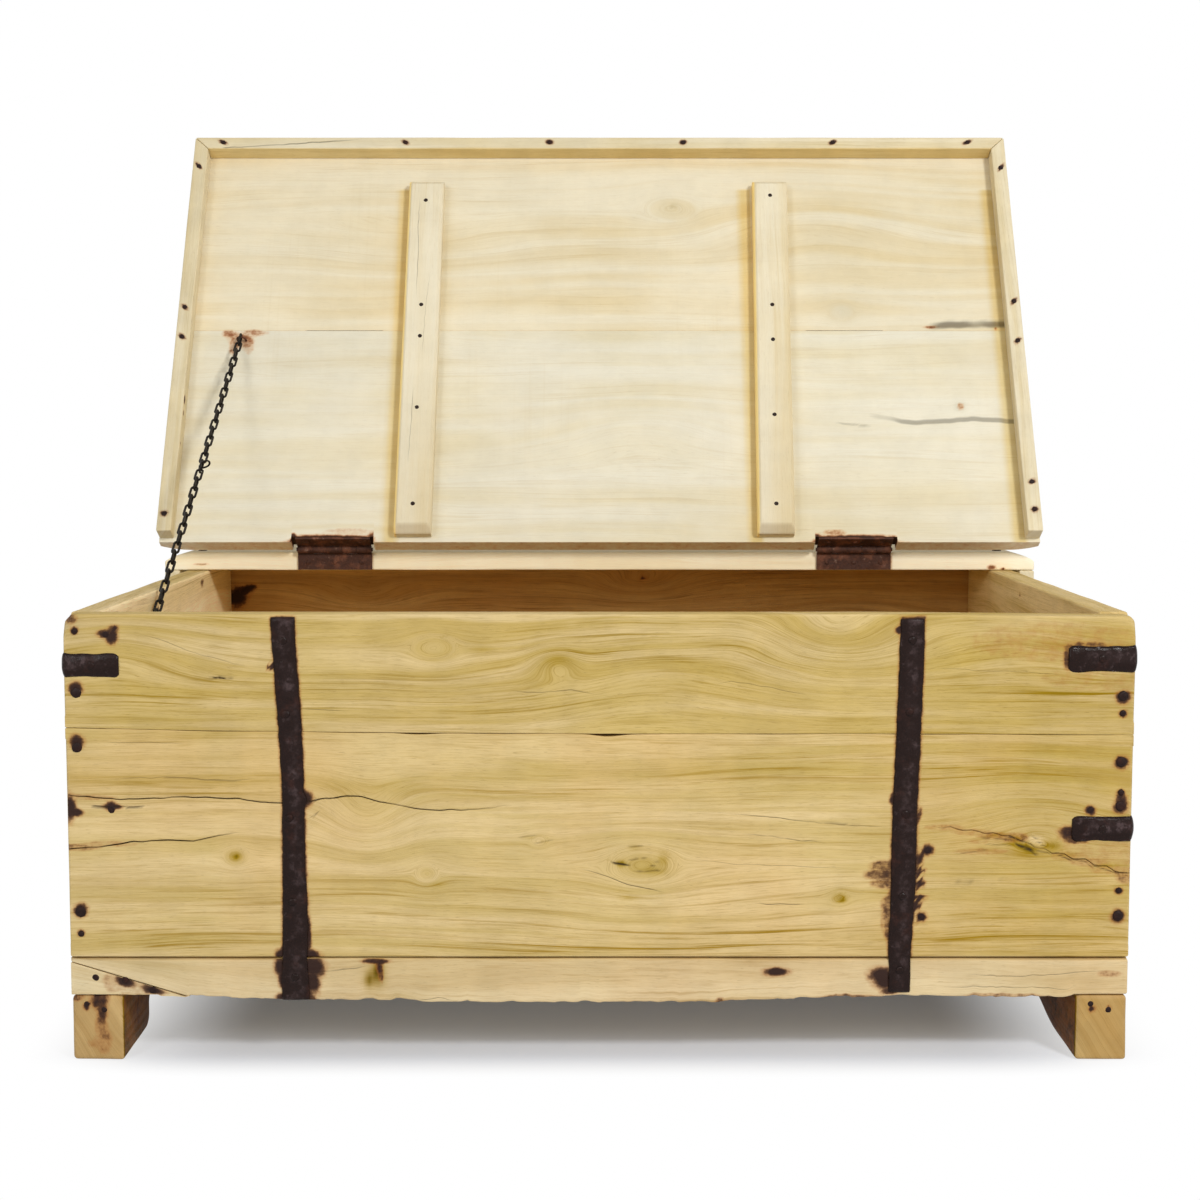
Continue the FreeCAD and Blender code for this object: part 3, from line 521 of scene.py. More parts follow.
def strap_halo(x, z):
    """The thin dark line that each long strap leaves along its edges."""
    depth = np.full(len(x), -1.0)
    for strap in (LEFT_STRAP, RIGHT_STRAP):
        left, right = strap_edges(strap, z)
        beyond = np.max([left - x, x - right, strap[0, 0] - z, z - strap[-1, 0]], 0)
        depth = np.maximum(depth, 0.12 - beyond / 5)
    return depth


# The front wall: seam between its boards, swirls, knots, cracks and torn grain
SEAM = np.array([(-550, 350.8), (-411, 347.6), (-205, 345.4), (0, 344.3), (309, 344.2), (550, 343.1)])
SEAM_LEVEL = 344


def seam_shift(x):
    return np.interp(x, SEAM[:, 0], SEAM[:, 1]) - SEAM_LEVEL


def seam_gap(x):
    """Where splinters have left the joint open."""
    gap = 1.6 * np.exp(-(((x + 186) / 20) ** 2)) + 2.6 * np.exp(-(((x - 8) / 17) ** 2))
    return gap + 0.35 + 0.25 * np.sin(x / 23)


TOP_SWIRLS = (
    (-44, 418, 24, 17, -20), (70, 405, 120, 60, -26), (150, 440, 46, 22, -12), (246, 446, 66, 30, 30),
    (-505, 428, 95, 40, -32), (420, 440, 110, 36, -20),
)
TOP_KNOTS = ((-170, 433, 24, 13),)
LOWER_SWIRLS = ((-240, 252, 44, 36, 32), (455, 262, 85, 34, -20), (120, 150, 200, 30, 10))
LOWER_KNOTS = (
    (44, 207, 36, 18), (-376.6, 214.8, 11, 9), (-178.9, 197, 13, 10), (-62, 232, 9, 6), (248.8, 172.6, 8, 6),
    (452, 231, 20, 9),
)
# Places where the wood is darker and sunk: middle, reach along and up, how dark. The longer ones are
# bands of stronger grain.
KNOT_MARKS = (
    (44, 207, 34, 15, 0.45), (22, 208.5, 4, 3.2, 2), (36, 226, 6, 3, 0.6), (66, 212, 5, 7, 0.8),
    (58, 200, 12, 4, 0.7), (-376.6, 214.8, 8, 6, 1), (-376, 214, 3, 2.6, 1.2), (-178.9, 199, 9, 6, 0.35),
    (-168, 186, 10, 3, 0.5), (-74, 236, 7, 2.4, 0.45), (-58, 231, 5, 2.4, 0.45), (248.8, 172.6, 7, 5, 0.9),
    (252, 170, 3.5, 2.5, 1.6), (431, 234.5, 6, 2.8, 1.7), (438, 226.5, 9, 4, 1.8), (446, 222.5, 6, 3, 1.5),
    (426, 229.5, 8, 2.6, 0.9), (468, 227, 10, 5, 1.3), (452, 218, 22, 6, 0.4), (450, 234.5, 7, 4, -1),
    (456, 230.5, 5, 2.6, -0.5), (414, 238.5, 14, 2.6, 0.8), (484, 218, 12, 2.6, 0.8), (500, 208.5, 16, 2.4, -0.5),
    (524, 207, 10, 2.2, 0.7), (30, 172, 9, 2.4, 0.7), (-170, 433, 14, 8, -0.28), (236, 431, 20, 8, -0.2),
    (-44, 421, 14, 8, 0.45), (-120, 431, 12, 6, 0.4), (-28, 458, 6, 4, -0.2), (-440, 382, 80, 9, 0.55),
    (-120, 379, 170, 6, 0.3), (120, 414, 60, 9, 0.35), (40, 432, 150, 24, 0.28), (-300, 446, 130, 14, -0.14),
    (430, 392, 90, 8, 0.28), (-440, 293, 90, 6, 0.55), (-235, 288, 60, 6, 0.35), (160, 303, 150, 7, 0.48),
    (-90, 284, 120, 5, 0.4), (440, 302, 80, 8, 0.55), (470, 284, 50, 4, 0.35), (455, 152, 90, 6, 0.6),
    (450, 134, 110, 8, 0.6), (220, 140, 90, 5, 0.25), (150, 128, 230, 14, 0.55), (-440, 128, 90, 8, 0.55),
    (-60, 120, 260, 5, 0.22),
)
BAND_REACH = 50
LOWER_CRACKS = (
    Crack(
        [
            (-550, 276), (-520, 273), (-480, 272), (-440, 275), (-405, 276), (-370, 274), (-340, 270), (-310, 270),
            (-285, 275), (-262, 278), (-245, 278), (-225, 272), (-195, 266), (-165, 264), (-130, 264), (-105, 268),
            (-90, 269),
        ],
        0.75, 3.2, 1, 30,
    ),
    Crack(
        [(-550, 221), (-520, 223), (-480, 229), (-445, 231), (-420, 230), (-395, 236), (-372, 240)], 0.85, 3, 1, 30
    ),
    Crack([(125, 262), (170, 258), (215, 252), (250, 249), (300, 246)], 0.5, 1.2, 0.75, 22),
    Crack(
        [
            (340, 249), (354, 246), (362, 248), (374, 243), (386, 244.5), (398, 240), (408, 241.5), (417, 237),
            (426, 238), (434, 232), (443, 231), (451, 225.5), (461, 225), (469, 219), (481, 219.5), (491, 213),
            (503, 213.5), (513, 206.5), (525, 206), (535, 200), (550, 198.5),
        ],
        0.9, 2.2, 0.5, 40,
    ),
    Crack([(-540, 266), (-503, 264.5), (-470, 265.5), (-440, 266)], 0.6, 0.8, 0.9, 6),
    Crack([(-510, 330), (-470, 331), (-430, 330)], 0.5, 0.4, 0.6),
    Crack([(-500, 293), (-440, 296), (-380, 293), (-350, 296)], 0.45, 0.4, 0.5),
    Crack([(-20, 203), (0, 198), (30, 186), (70, 178)], 0.6, 0.7, 0.7),
    Crack([(90, 214), (140, 208), (200, 206), (260, 204)], 0.45, 0.4, 0.55),
    Crack([(160, 166), (190, 166), (215, 165)], 0.6, 0.6, 0.7),
    Crack([(350, 190), (375, 189), (400, 191), (425, 192)], 0.6, 0.4, 0.35),
    Crack([(150, 240), (175, 238), (205, 233), (240, 230)], 0.5, 0.4, 0.6),
    Crack([(-300, 255), (-290, 262), (-280, 264)], 0.5, 0.4, 0.6),
)
TOP_CRACKS = (
    Crack([(-402, 400), (-390, 400), (-376, 399)], 1.1, 2.5, 1, 8),
    Crack([(-500, 388), (-470, 386), (-440, 384)], 0.5, 0.5, 0.6, 6),
    Crack([(-325, 369), (-290, 368), (-255, 367)], 0.5, 0.5, 0.7),
    Crack([(-92, 388), (-60, 386), (-30, 390), (0, 384)], 0.5, 0.5, 0.55),
    Crack([(120, 396), (135, 399), (165, 394), (215, 384)], 0.5, 0.5, 0.6),
    Crack([(-480, 448), (-450, 441), (-420, 428), (-360, 412)], 0.5, 0.5, 0.55, 34),
    Crack([(340, 412), (420, 410), (480, 406)], 0.4, 0.3, 0.45),
)
# Torn grain at the knots: from, to, half width, how dark
TEARS = (
    (424, 237, 438, 232, 1.1, 0.85), (432, 228, 447, 223, 1.8, 1), (445, 223, 452, 217, 1, 0.6),
    (446, 229, 451, 236, 0.8, 0.5), (455, 231, 462, 226, 0.9, 0.6), (455, 222, 471, 219, 0.9, 0.6),
    (470, 221, 486, 213, 1, 0.75), (486, 214, 503, 211, 0.9, 0.6), (505, 207, 520, 205, 0.9, 0.6),
    (520, 204, 538, 198, 0.9, 0.7), (372, 219, 400, 223, 0.8, 0.45), (398, 236, 424, 234, 0.9, 0.5),
    (402, 229, 428, 228, 0.8, 0.4), (15, 209, 28, 207, 1.5, 1), (30, 226, 43, 227, 1.1, 0.4),
    (52, 203, 61, 213, 1, 0.6), (33, 212, 46, 215, 0.9, 0.5), (38, 200, 60, 201, 1, 0.5),
    (-82, 236, -66, 238, 1, 0.3), (-64, 230, -50, 233, 1, 0.3),
)
TORN_LEVELS = [*np.arange(198, 216.5, 1.1), *np.arange(219, 245, 1.0)]


def tear_marks(x, z):
    """How dark the torn grain makes each point."""
    split = np.zeros(len(x))
    for x0, z0, x1, z1, half, dark in TEARS:
        run_x, run_z = x1 - x0, z1 - z0
        t = np.clip(((x - x0) * run_x + (z - z0) * run_z) / (run_x**2 + run_z**2), 0, 1)
        away = np.hypot(x - x0 - t * run_x, z - z0 - t * run_z)
        split = np.maximum(split, dark * np.clip(1.6 * (1 - away / half), 0, 1))
    return split


def front_board(node, swirls, knots, cracks, seed, material, step, torn_levels=()):
    """A board of the front wall, worn and cracked, with the stains of its iron."""
    low, high = cad(node)
    top = node == "front_top_board"
    places = [place for crack in cracks for place in crack.grid_places()] + list(torn_levels)
    points, faces = box_grid(
        lines(low[0], high[0], step), lines(low[1], high[1], 9), lines(low[2], high[2], 3.4, places)
    )
    for crack in cracks:
        points[:, 2] = crack.bend(points[:, 0], points[:, 2])
    flat = points.copy()
    level, ends = flat[:, 2], np.abs(flat[:, 0]) - BODY_HALF
    radius = 3 + noise(flat, (70, 70, 70), seed)
    if top:
        radius = radius + (6 + 3 * (flat[:, 0] < 0)) * smooth(level, 440, 466) * smooth(ends, -16, -2)
        radius = np.where(level < low[2] + 12, 1, radius)
    else:
        radius = np.where(level > high[2] - 12, 1, radius)
        radius = np.where(level < low[2] + 12, 2, radius)
    points, away = rounded(points, low, high, radius)
    x, _, z = points.T
    front = np.clip(-away[:, 1], 0, 1)
    sunk = 0.28 * (1 + layered(flat, (190, 90, 60), seed + 3, 3))
    sunk = sunk + 1.4 * smooth(ends, -26, 0) * (0.5 + 0.5 * noise(flat, (40, 40, 34), seed + 4))
    depth, split = crack_marks(cracks, x, z, front > 0.5)
    torn = tear_marks(x, z) * (front > 0.5)
    sunk = sunk + depth + 0.8 * torn
    fields = {"grain": grain_field(points, 0, 2, seed, swirls, knots, 8)}
    figure = np.zeros(len(points))
    tone = face_tone(away, points, seed) - (0.14 if top else -0.02)
    tone = tone - np.where(x < 0, 0.04, 0.13) * smooth(np.abs(x), 180, 500)
    tone = tone - (0.04 if top else 0.16) * smooth(x, 150, 480)
    if not top:
        tone = tone - 0.12 * smooth(z, 262, 292) * (1 - 0.7 * smooth(x, 200, 400))
    for at_x, at_z, reach_x, reach_z, dark in KNOT_MARKS:
        near = hump(x, z, at_x, at_z, reach_x, reach_z)
        if reach_x < BAND_REACH:
            tone = tone - 0.62 * dark * near
            if dark > 0.5:
                sunk = sunk + 1.1 * dark * near * (0.6 + 0.4 * noise(points, (5, 9, 4), seed + 9))
        else:
            tone = tone - 0.3 * dark * near
            figure = figure + 2.4 * dark * hump(x, z, at_x, at_z, reach_x, 2.2 * reach_z)
    points -= away * (sunk * front)[:, None]
    stain = np.where(front > 0.2, np.maximum(spots_field(x, z, FRONT_STAINS), strap_halo(x, z)), -1.0)
    fields["marks"] = np.stack([stain, np.maximum(split, torn), tone], 1)
    fields["figure"] = first(figure)
    tall = high[2] - low[2]
    if top:
        z += seam_shift(x) * (high[2] - level) / tall
        z -= 2.2 * smooth(flat[:, 0], 250, 550) * smooth(level, SEAM_LEVEL, high[2])
    else:
        z += seam_shift(x) * (level - low[2]) / tall - seam_gap(x) * smooth(level, high[2] - 14, high[2])
    make(f"{node}.worn", points, faces, material, "chest", (node,), fields)


front_board("front_top_board", TOP_SWIRLS, TOP_KNOTS, TOP_CRACKS, 3, WALL_WOOD, 3.8)
front_board("front_lower_board", LOWER_SWIRLS, LOWER_KNOTS, LOWER_CRACKS, 8, LOWER_WOOD, 4.4, TORN_LEVELS)


def plank(
    node, material, along, across, seed, step, box=None, body="chest", radius=2.2, stains=None, shade=None,
    painted_tint=None, shape=None, extra=((), (), ()), swirls=(), knots=(), warp=7, sunk=0.5, cracks=(), crack_across=2,
    crack_face=(1, -1),
):
    """A plain board with uneven, rubbed edges. shape bends it; stains, shade, painted_tint and cracks mark its faces.
    shade can also paint light and shade onto a face, and painted_tint gives the warm painted shade tint.
    """
    low, high = np.array(box or cad(node), float)
    extra = [list(places) for places in extra]
    for crack in cracks:
        extra[crack_across] += list(crack.grid_places())
    points, faces = box_grid(*(lines(low[i], high[i], step[i], extra[i]) for i in range(3)))
    crack_along = 1 if crack_across == 0 else 0
    for crack in cracks:
        points[:, crack_across] = crack.bend(points[:, crack_along], points[:, crack_across])
    flat = points.copy()
    edge = np.clip(radius * (1 + 0.35 * noise(flat, (60, 60, 60), seed)), 0.3, (high - low).min() / 3)
    points, away = rounded(points, low, high, edge)
    dip = sunk * 0.5 * (1 + layered(flat, (150, 150, 150), seed + 3, 3))
    on_face = away[:, crack_face[0]] * crack_face[1] > 0.5
    depth, split = crack_marks(cracks, points[:, crack_along], points[:, crack_across], on_face)
    points -= away * (dip + depth)[:, None]
    none = np.zeros(len(points))
    stain = stains(points, away) if stains else none - 1
    tone = face_tone(away, points, seed) + (shade(points, away) if shade else 0)
    end_grain = -1.3 * smooth(np.abs(away[:, along]), 0.6, 0.95)
    fields = {
        "grain": grain_field(points, along, across, seed, swirls, knots, warp),
        "marks": np.stack([stain, split, tone], 1),
        "figure": np.stack([end_grain, painted_tint(points, away) if painted_tint else none, none], 1),
    }
    if shape:
        points = shape(points, flat)
    make(f"{node}.worn", points, faces, material, body, (node,), fields)


def refit(points, ends, bottom, top):
    """A board's points, drawn out from between two levels to between two others."""
    out = points.copy()
    out[:, 2] = bottom + (points[:, 2] - ends[0]) / (ends[1] - ends[0]) * (top - bottom)
    return out


# Side and back walls, with light painted onto their inner faces
BACK_NAIL_SPOTS = [
    (side * (BODY_HALF - NAIL_INSET), wall_level(share), 10, 9)
    for side in SIDES for share in (0.12, 0.28, 0.5, 0.72, 0.9)
]
BACK_INNER_SPOTS = [(-512, 418, 13, 14), (-500, 428, 10, 7), (-489, 433, 6, 4), (62, 446, 5, 4, 0.3)]
LEFT_INNER_SPOTS = [(300, 437, 6, 12), (280, 428, 4, 8), (560, 455, 10, 4, 0.2)]
RIGHT_INNER_SPOTS = [(420, 452, 5, 3, 0.2)]


def back_marks(points, away):
    outside, inside = stained(BACK_NAIL_SPOTS, 1, 1, 0.3), stained(BACK_INNER_SPOTS, 1, -1, 0.3)
    return np.maximum(outside(points, away), inside(points, away))


# Painted light on the back wall's inner face; the same lift makes its outer face paler and less orange
def back_shade(points, away):
    return 0.35 * np.abs(away[:, 1])


# The side walls' inner faces are painted lighter, the left more than the right: painted light
for level, seed, radius in (("top", 21, 3), ("lower", 24, 1.6)):
    for side, face, material, spots, painted_inside_light in (
        ("left", 1, WALL_WOOD, LEFT_INNER_SPOTS, 1.15), ("right", -1, RIGHT_WOOD, RIGHT_INNER_SPOTS, 0.45),
    ):
        node = f"{side}_side_{level}_board"
        base = cad(node)[0][2]
        plank(
            node, material, 1, 2, seed + face, (8, 7, 6), radius=radius, sunk=0.7, shade=faced(0, face, painted_inside_light),
            stains=stained(spots, 0, face, 0.3),
            swirls=((300, base + 60, 110, 34, 14), (620, base + 80, 90, 30, -10)),
        )
    node = f"back_{level}_board"
    base = cad(node)[0][2]
    plank(
        node, INNER_WOOD, 0, 2, seed + 5, (8, 8, 6), stains=back_marks, shade=back_shade, sunk=0.7,
        swirls=((-330, base + 70, 80, 26, 26), (60, base + 90, 70, 24, 30), (350, base + 50, 90, 30, -24)),
    )

# Floor: front plank with its waney edge and its patch, and the planks behind it
WANE_X = (-496, -427, -302, -208, -177, 125, 141, 312, 416, 489, 496)
WANE_DROP = (0, 3.4, 6.5, 6.7, 8.7, 9, 6.7, 2.3, 3.4, 3.2, 0)
WANE_REACH = 55
FLOOR_ENDS = (FLOOR_LOW, FLOOR_TOP)
FLOOR_SEAMS = (0, 268, 530, BODY_DEPTH)
PATCH_END, PATCH_DEPTH, PATCH_HIGH, PATCH_LOW = -427, 30, 105, 66.6
PLANK_SPOTS = [
    (-331, 102, 7, 9), (-329, 90, 5, 9), (-299, 101, 12, 12), (-299, 88, 8, 12), (-303, 72, 7, 9, 0.3),
    (-331, 71, 6, 5, 0.3), (293, 92, 12, 8), (297, 85, 11, 8), (303, 76, 10, 4, 0.3), (184, 96.4, 12.5, 4),
    (-233, 107, 13, 2.5, 0.3), (-229, 101, 3, 6, 0.3), (-227, 94, 2.5, 6, 0.1), (-206, 66, 15, 3.4, 0.25),
    (-183, 63.5, 8, 3, 0.25), (-120, 62, 14, 2, 0), (130, 66, 12, 4, 0.1), (125, 70, 4, 4, 0.1),
    (262, 70, 26, 2.5, 0), (-400, 67, 16, 2, 0), (420, 71, 30, 2.5, -0.1), (530, 92, 10, 3, -0.15),
]
PATCH_SPOTS = [(-493.5, 104, 10, 14), (-464, 96, 11, 22), (-506, 93, 8, 13, -0.25), (-488, 77, 7, 11, -0.3)]
PLANK_CRACKS = (
    Crack([(350, 79), (420, 80), (500, 78)], 0.5, 0.5, 0.6, 6),
    Crack([(380, 92), (440, 91), (480, 93), (530, 96)], 0.5, 0.5, 0.65, 7),
    Crack([(-300, 96), (-270, 98), (-240, 102)], 0.4, 0.4, 0.5),
    Crack([(-190, 72), (-170, 74), (-150, 72)], 0.5, 0.6, 0.7),
)
PLANK_MARKS = (
    (-234, 92, 10, 13, 0.6), (-230, 98, 5, 10, 1.4), (-240, 88, 4, 7, 1), (-60, 80, 60, 8, -0.15),
    (190, 84, 70, 9, -0.12), (-208, 72, 22, 6, 0.25), (-470, 98, 60, 14, 0.3), (490, 84, 80, 24, 0.16),
)


def wane(x, y):
    """The lower edge of the front plank between the runners."""
    nibble = 2 * np.maximum(0, ripple(x, 15, 44)) + 1.1 * np.maximum(0, ripple(x, 6, 46))
    drop = np.interp(x, WANE_X, WANE_DROP) - nibble * smooth(np.abs(x), 500, 492)
    return FLOOR_LOW - np.maximum(drop, 0) * smooth(y, WANE_REACH + 12, WANE_REACH - 12)


def patch_edge(x):
    return np.interp(x, (-BODY_HALF, PATCH_END), (PATCH_HIGH, PATCH_LOW))


def front_plank_shape(points, flat):
    x, y, z = points.T
    cut_out = (flat[:, 0] < PATCH_END) & (flat[:, 1] < PATCH_DEPTH)
    out = refit(points, FLOOR_ENDS, np.where(cut_out, patch_edge(x) + 0.5, wane(x, y)), FLOOR_TOP)
    out[:, 2] -= (2 + noise(points, (90, 90, 90), 51)) * smooth(y, 12, 0) * smooth(z, 98, 110)
    return out


def patch_shape(points, flat):
    bottom = wane(points[:, 0], points[:, 1])
    return refit(points, FLOOR_ENDS, bottom, np.maximum(patch_edge(points[:, 0]) - 0.5, bottom + 0.3))


floor_shade = faced(2, 1, -0.3)


def plank_shade(points, away):
    tone = np.zeros(len(points))
    for *place, dark in PLANK_MARKS:
        tone -= dark * hump(points[:, 0], points[:, 2], *place)
    return np.where(away[:, 1] < -0.2, tone, 0.0) + floor_shade(points, away)


plank(
    "floor_plank_front", BASE_WOOD, 0, 1, 31, (3.4, 9, 2.6),
    ((-BODY_HALF, 0, FLOOR_LOW), (BODY_HALF, FLOOR_SEAMS[1], FLOOR_TOP)), radius=2.4,
    stains=stained(PLANK_SPOTS, 1, -1), shade=plank_shade, shape=front_plank_shape, cracks=PLANK_CRACKS,
    sunk=0.6, warp=9,
    extra=((PATCH_END - 0.3, PATCH_END + 0.3), (PATCH_DEPTH - 0.2, PATCH_DEPTH + 0.2, 43, 55, 67), ()),
)
plank(
    "floor_patch", PATCH_WOOD, 0, 2, 33, (3, 5, 4), ((-BODY_HALF, 0, FLOOR_LOW), (PATCH_END, PATCH_DEPTH, FLOOR_TOP)),
    radius=1.2, shape=patch_shape, sunk=0.3, stains=stained(PATCH_SPOTS, 1, -1),
)
plank("floor_plank_middle", BASE_WOOD, 0, 1, 35, (12, 9, 10), shade=floor_shade)
plank("floor_plank_rear", BASE_WOOD, 0, 1, 37, (12, 9, 10), shade=floor_shade)


# Runners
def left_under(y):
    foot, rise, bend = 117, 34, 12
    y = np.minimum(y, BODY_DEPTH - y)
    low_arc = bend - np.sqrt(np.maximum(bend**2 - np.clip(y - (foot - bend), 0, bend) ** 2, 0))
    high_arc = rise - bend + np.sqrt(np.maximum(bend**2 - np.clip(foot + bend - y, 0, bend) ** 2, 0))
    return np.where(y <= foot, low_arc, high_arc)


def right_under(y):
    foot, run, rise = 63, 150, 17
    return rise * smooth(np.minimum(y, BODY_DEPTH - y), foot, foot + run)


def runner_shape(under):
    return lambda points, flat: refit(points, (0, FLOOR_LOW), under(points[:, 1]), FLOOR_LOW)


def inward(points, away):
    """1 on the sides that face in under the chest, 0 on the rounded edges and elsewhere."""
    return np.clip((-away[:, 0] * np.sign(points[:, 0]) - 0.75) / 0.25, 0, 1)


# Painted shade on the sides that face in under the chest; the right runner a little darker and the left a little
# paler
def under_shade(points, away):
    return -1.75 * inward(points, away) - np.where(points[:, 0] > 0, 0.16, -0.08)


def foot_stains(spots):
    """Spots on the front end, and painted shade on the sides that face in under the chest."""
    def field(points, away):
        painted_shade = -1 + inward(points, away) * (0.82 + 0.3 * layered(points, (60, 34, 26), 47, 2))
        return np.where(away[:, 1] < -0.2, spots_field(points[:, 0], points[:, 2], spots), painted_shade)
    return field


LEFT_FOOT_SPOTS = [
    (-521, 64, 8, 9, 0.25), (-518, 52, 5, 9, 0.3), (-519, 36, 5, 14, -0.05), (-516, 20, 6, 10, -0.1),
    (-524, 18, 8, 4, -0.1), (-534.7, 57, 3.4, 4.6), (-546, 68, 8, 4, 0),
]
RIGHT_FOOT_SPOTS = [(513, 55, 3.4, 4.4), (531, 56, 2.4, 3)]
NOTCH_STEPS = (0, 3, 6, 8.5, 10.5, 11.8, 12.2, 13.5, 15.5, 18, 21, 24)
NOTCH_LINES = [base + step for base in (105, 665) for step in NOTCH_STEPS]
for node, under, spots, seed, extra in (
    ("left_runner", left_under, LEFT_FOOT_SPOTS, 41, NOTCH_LINES),
    ("right_runner", right_under, RIGHT_FOOT_SPOTS, 43, ()),
):
    low, high = cad(node)
    plank(
        node, FOOT_WOOD, 1, 0, seed, (4.5, 6, 4), ((*low[:2], 0), (*high[:2], FLOOR_LOW)), radius=5, sunk=0.8,
        warp=5, stains=foot_stains(spots), shape=runner_shape(under), extra=((), extra, ()), shade=under_shade,
    )


# Rear rail and lid boards, rounded over at both ends
def over_ends(points, flat):
    """The drop of a panel's top face near its two ends."""
    run, drop = 40, 12
    bend = (run**2 + drop**2) / (2 * drop)
    past = np.clip(np.abs(points[:, 0]) - (PANEL_HALF - run), 0, run)
    out = points.copy()
    out[:, 2] -= (bend - np.sqrt(bend**2 - past**2)) * (points[:, 2] - WALL_TOP) / (PANEL_TOP - WALL_TOP)
    return out


END_LINES = [side * x for side in SIDES for x in (538, 545, 552, 558, 564, 570, 574)]
RAIL_SPOTS = [(x + dx, 478, 2.5, 12, 0) for x in HINGE_MIDDLES for dx in (-48, 48)]
RAIL_SPOTS += [(520, 472, 5, 3, 0.2), (535, 470, 3, 2), (-530, 476, 8, 1.6, 0)]
# Painted light: the rail's front face is made paler
plank(
    "rear_rail", LID_WOOD, 0, 1, 51, (6, 8, 4),
    ((-PANEL_HALF, RAIL_FRONT, WALL_TOP), (PANEL_HALF, BODY_DEPTH, PANEL_TOP)), radius=2.4, shape=over_ends,
    extra=(END_LINES, (), ()), stains=stained(RAIL_SPOTS, 1, -1), shade=faced(1, -1, 0.6),
)
plank("rear_rail_left_rim", RIM_WOOD, 1, 0, 53, (5, 8, 4), radius=2.4)
plank("rear_rail_right_rim", RIM_WOOD, 1, 0, 53, (5, 8, 4), radius=2.4)

LID_STAINS = [
    (-491.5, 295.75, 13, 10, 0), (-510, 284, 8, 5, -0.02), (-475, 283, 13, 4, -0.02), (-503, 304, 5, 11, -0.08),
    (-482, 305, 6, 9, -0.12), (-489.5, 290.75, 6, 4, 0.12), (-403, 602, 4, 5, 0.5), (-351, 604, 55, 4.5, 0.9),
    (-328, 593, 22, 4, -0.2), (-299, 602, 5, 6, 0.2), (337, 604, 55, 4.5, 0.9), (285, 603, 4, 5, 0.3),
    (310, 595, 12, 4, -0.1), (488, 398.75, 4, 4.5, 0.05), (547, 277, 3, 2.5, 0.1), (456, 273.5, 9, 2.4, 0.2),
]
LID_KNOTS = ((100.6, 77, 34, 18, 0.12), (104, 74, 4, 3, 0.45), (334.8, 250, 18, 14, 0.2), (488, 399, 7, 6, 0.4))
LID_SWIRLS = ((300, 95, 150, 60, 45), (60, 430, 130, 50, 40), (-250, 150, 150, 50, -24))
LID_RINGS = ((100.6, 77, 40, 22), (334.8, 250, 17, 13), (488, 399, 6, 5))
RIM_THICK, RIM_LOW, RIM_REAR = 20, 444, 597
BATTEN_HALF, BATTEN_FRONT, BATTEN_REAR, BATTEN_LOW = 24.5, 40, 595.5, 446
# Left sides of what stands on the lid, the battens and the right rim, beside which shadow is painted on the lid
LID_LEDGES = (-269.5, 211.5, PANEL_HALF - RIM_THICK)
LEDGE_FRONT = 44
LID_FRONT_CRACKS = (Crack([(450, 274), (462, 272), (480, 270), (515, 269.5), (560, 269.5)], 7, 0.5, 0.68, 9),)
LID_REAR_CRACKS = (
    Crack(
        [(362, 412), (385, 416), (405, 421), (425, 424), (460, 422), (500, 418), (530, 420), (560, 422)],
        4.6, 0.6, 0.5, 40,
    ),
    Crack([(318, 424), (345, 427), (366, 430)], 2, 0.3, 0.28),
)


def lid_marks(points, away):
    depth = stained(LID_STAINS, 2, -1)(points, away)
    depth = np.where(away[:, 1] > 0.5, -0.28, depth)
    # In the mortises the rear-facing wood is darkened almost black: partly iron stain from the leaves, partly painted
    # shade in the recess
    for middle in HINGE_MIDDLES:
        in_mortise = (np.abs(points[:, 0] - middle) <= MORTISE_REACH) & (away[:, 1] > 0.3)
        depth = np.where(in_mortise, 0.8, depth)
    return depth


def lid_shade(points, away):
    x, y, _ = points.T
    tone = np.zeros(len(points))
    for *place, dark in LID_KNOTS:
        tone -= dark * hump(x, y, *place)
    front = 0.08 * smooth(y, 130, LID_SEAM) - 0.1 * smooth(x, 150, 350)
    tone += np.where(y < LID_SEAM, front, -0.07 * smooth(-y, -420, -LID_SEAM))
    # Shadow painted on the lid beside the battens and the right rim: a wider band to their left, a fainter one to
    # their right
    for left in LID_LEDGES:
        right = left + 2 * BATTEN_HALF
        painted_shadow = 0.14 * band(x, left - 24, left - 10, left, left + 6)
        tone -= (painted_shadow + 0.1 * band(x, right - 6, right, right + 8, right + 18)) * (y > LEDGE_FRONT)
    return np.where(away[:, 2] < -0.2, tone, 0.0)


# The warm painted shade tint in the painted shadow left of each batten and of the right rim
def lid_shadow_tint(points, away):
    x, y, _ = points.T
    painted_tint = np.max([band(x, left - 21, left - 8, left, left + 6) for left in LID_LEDGES], 0)
    return np.where((away[:, 2] < -0.2) & (y > LEDGE_FRONT), 0.8 * painted_tint, 0.0)


def lid_rear_shape(points, flat):
    out = over_ends(points, flat)
    back = smooth(flat[:, 1], 560, LID_REAR)
    rough = 0.9 * noise(flat, (7, 40, 9), 71)
    for middle in HINGE_MIDDLES:
        inside = np.abs(flat[:, 0] - middle) <= MORTISE_REACH
        out[:, 1] -= np.where(inside, (LID_REAR - MORTISE_BACK + np.minimum(rough, 0)) * back, 0)
    return out


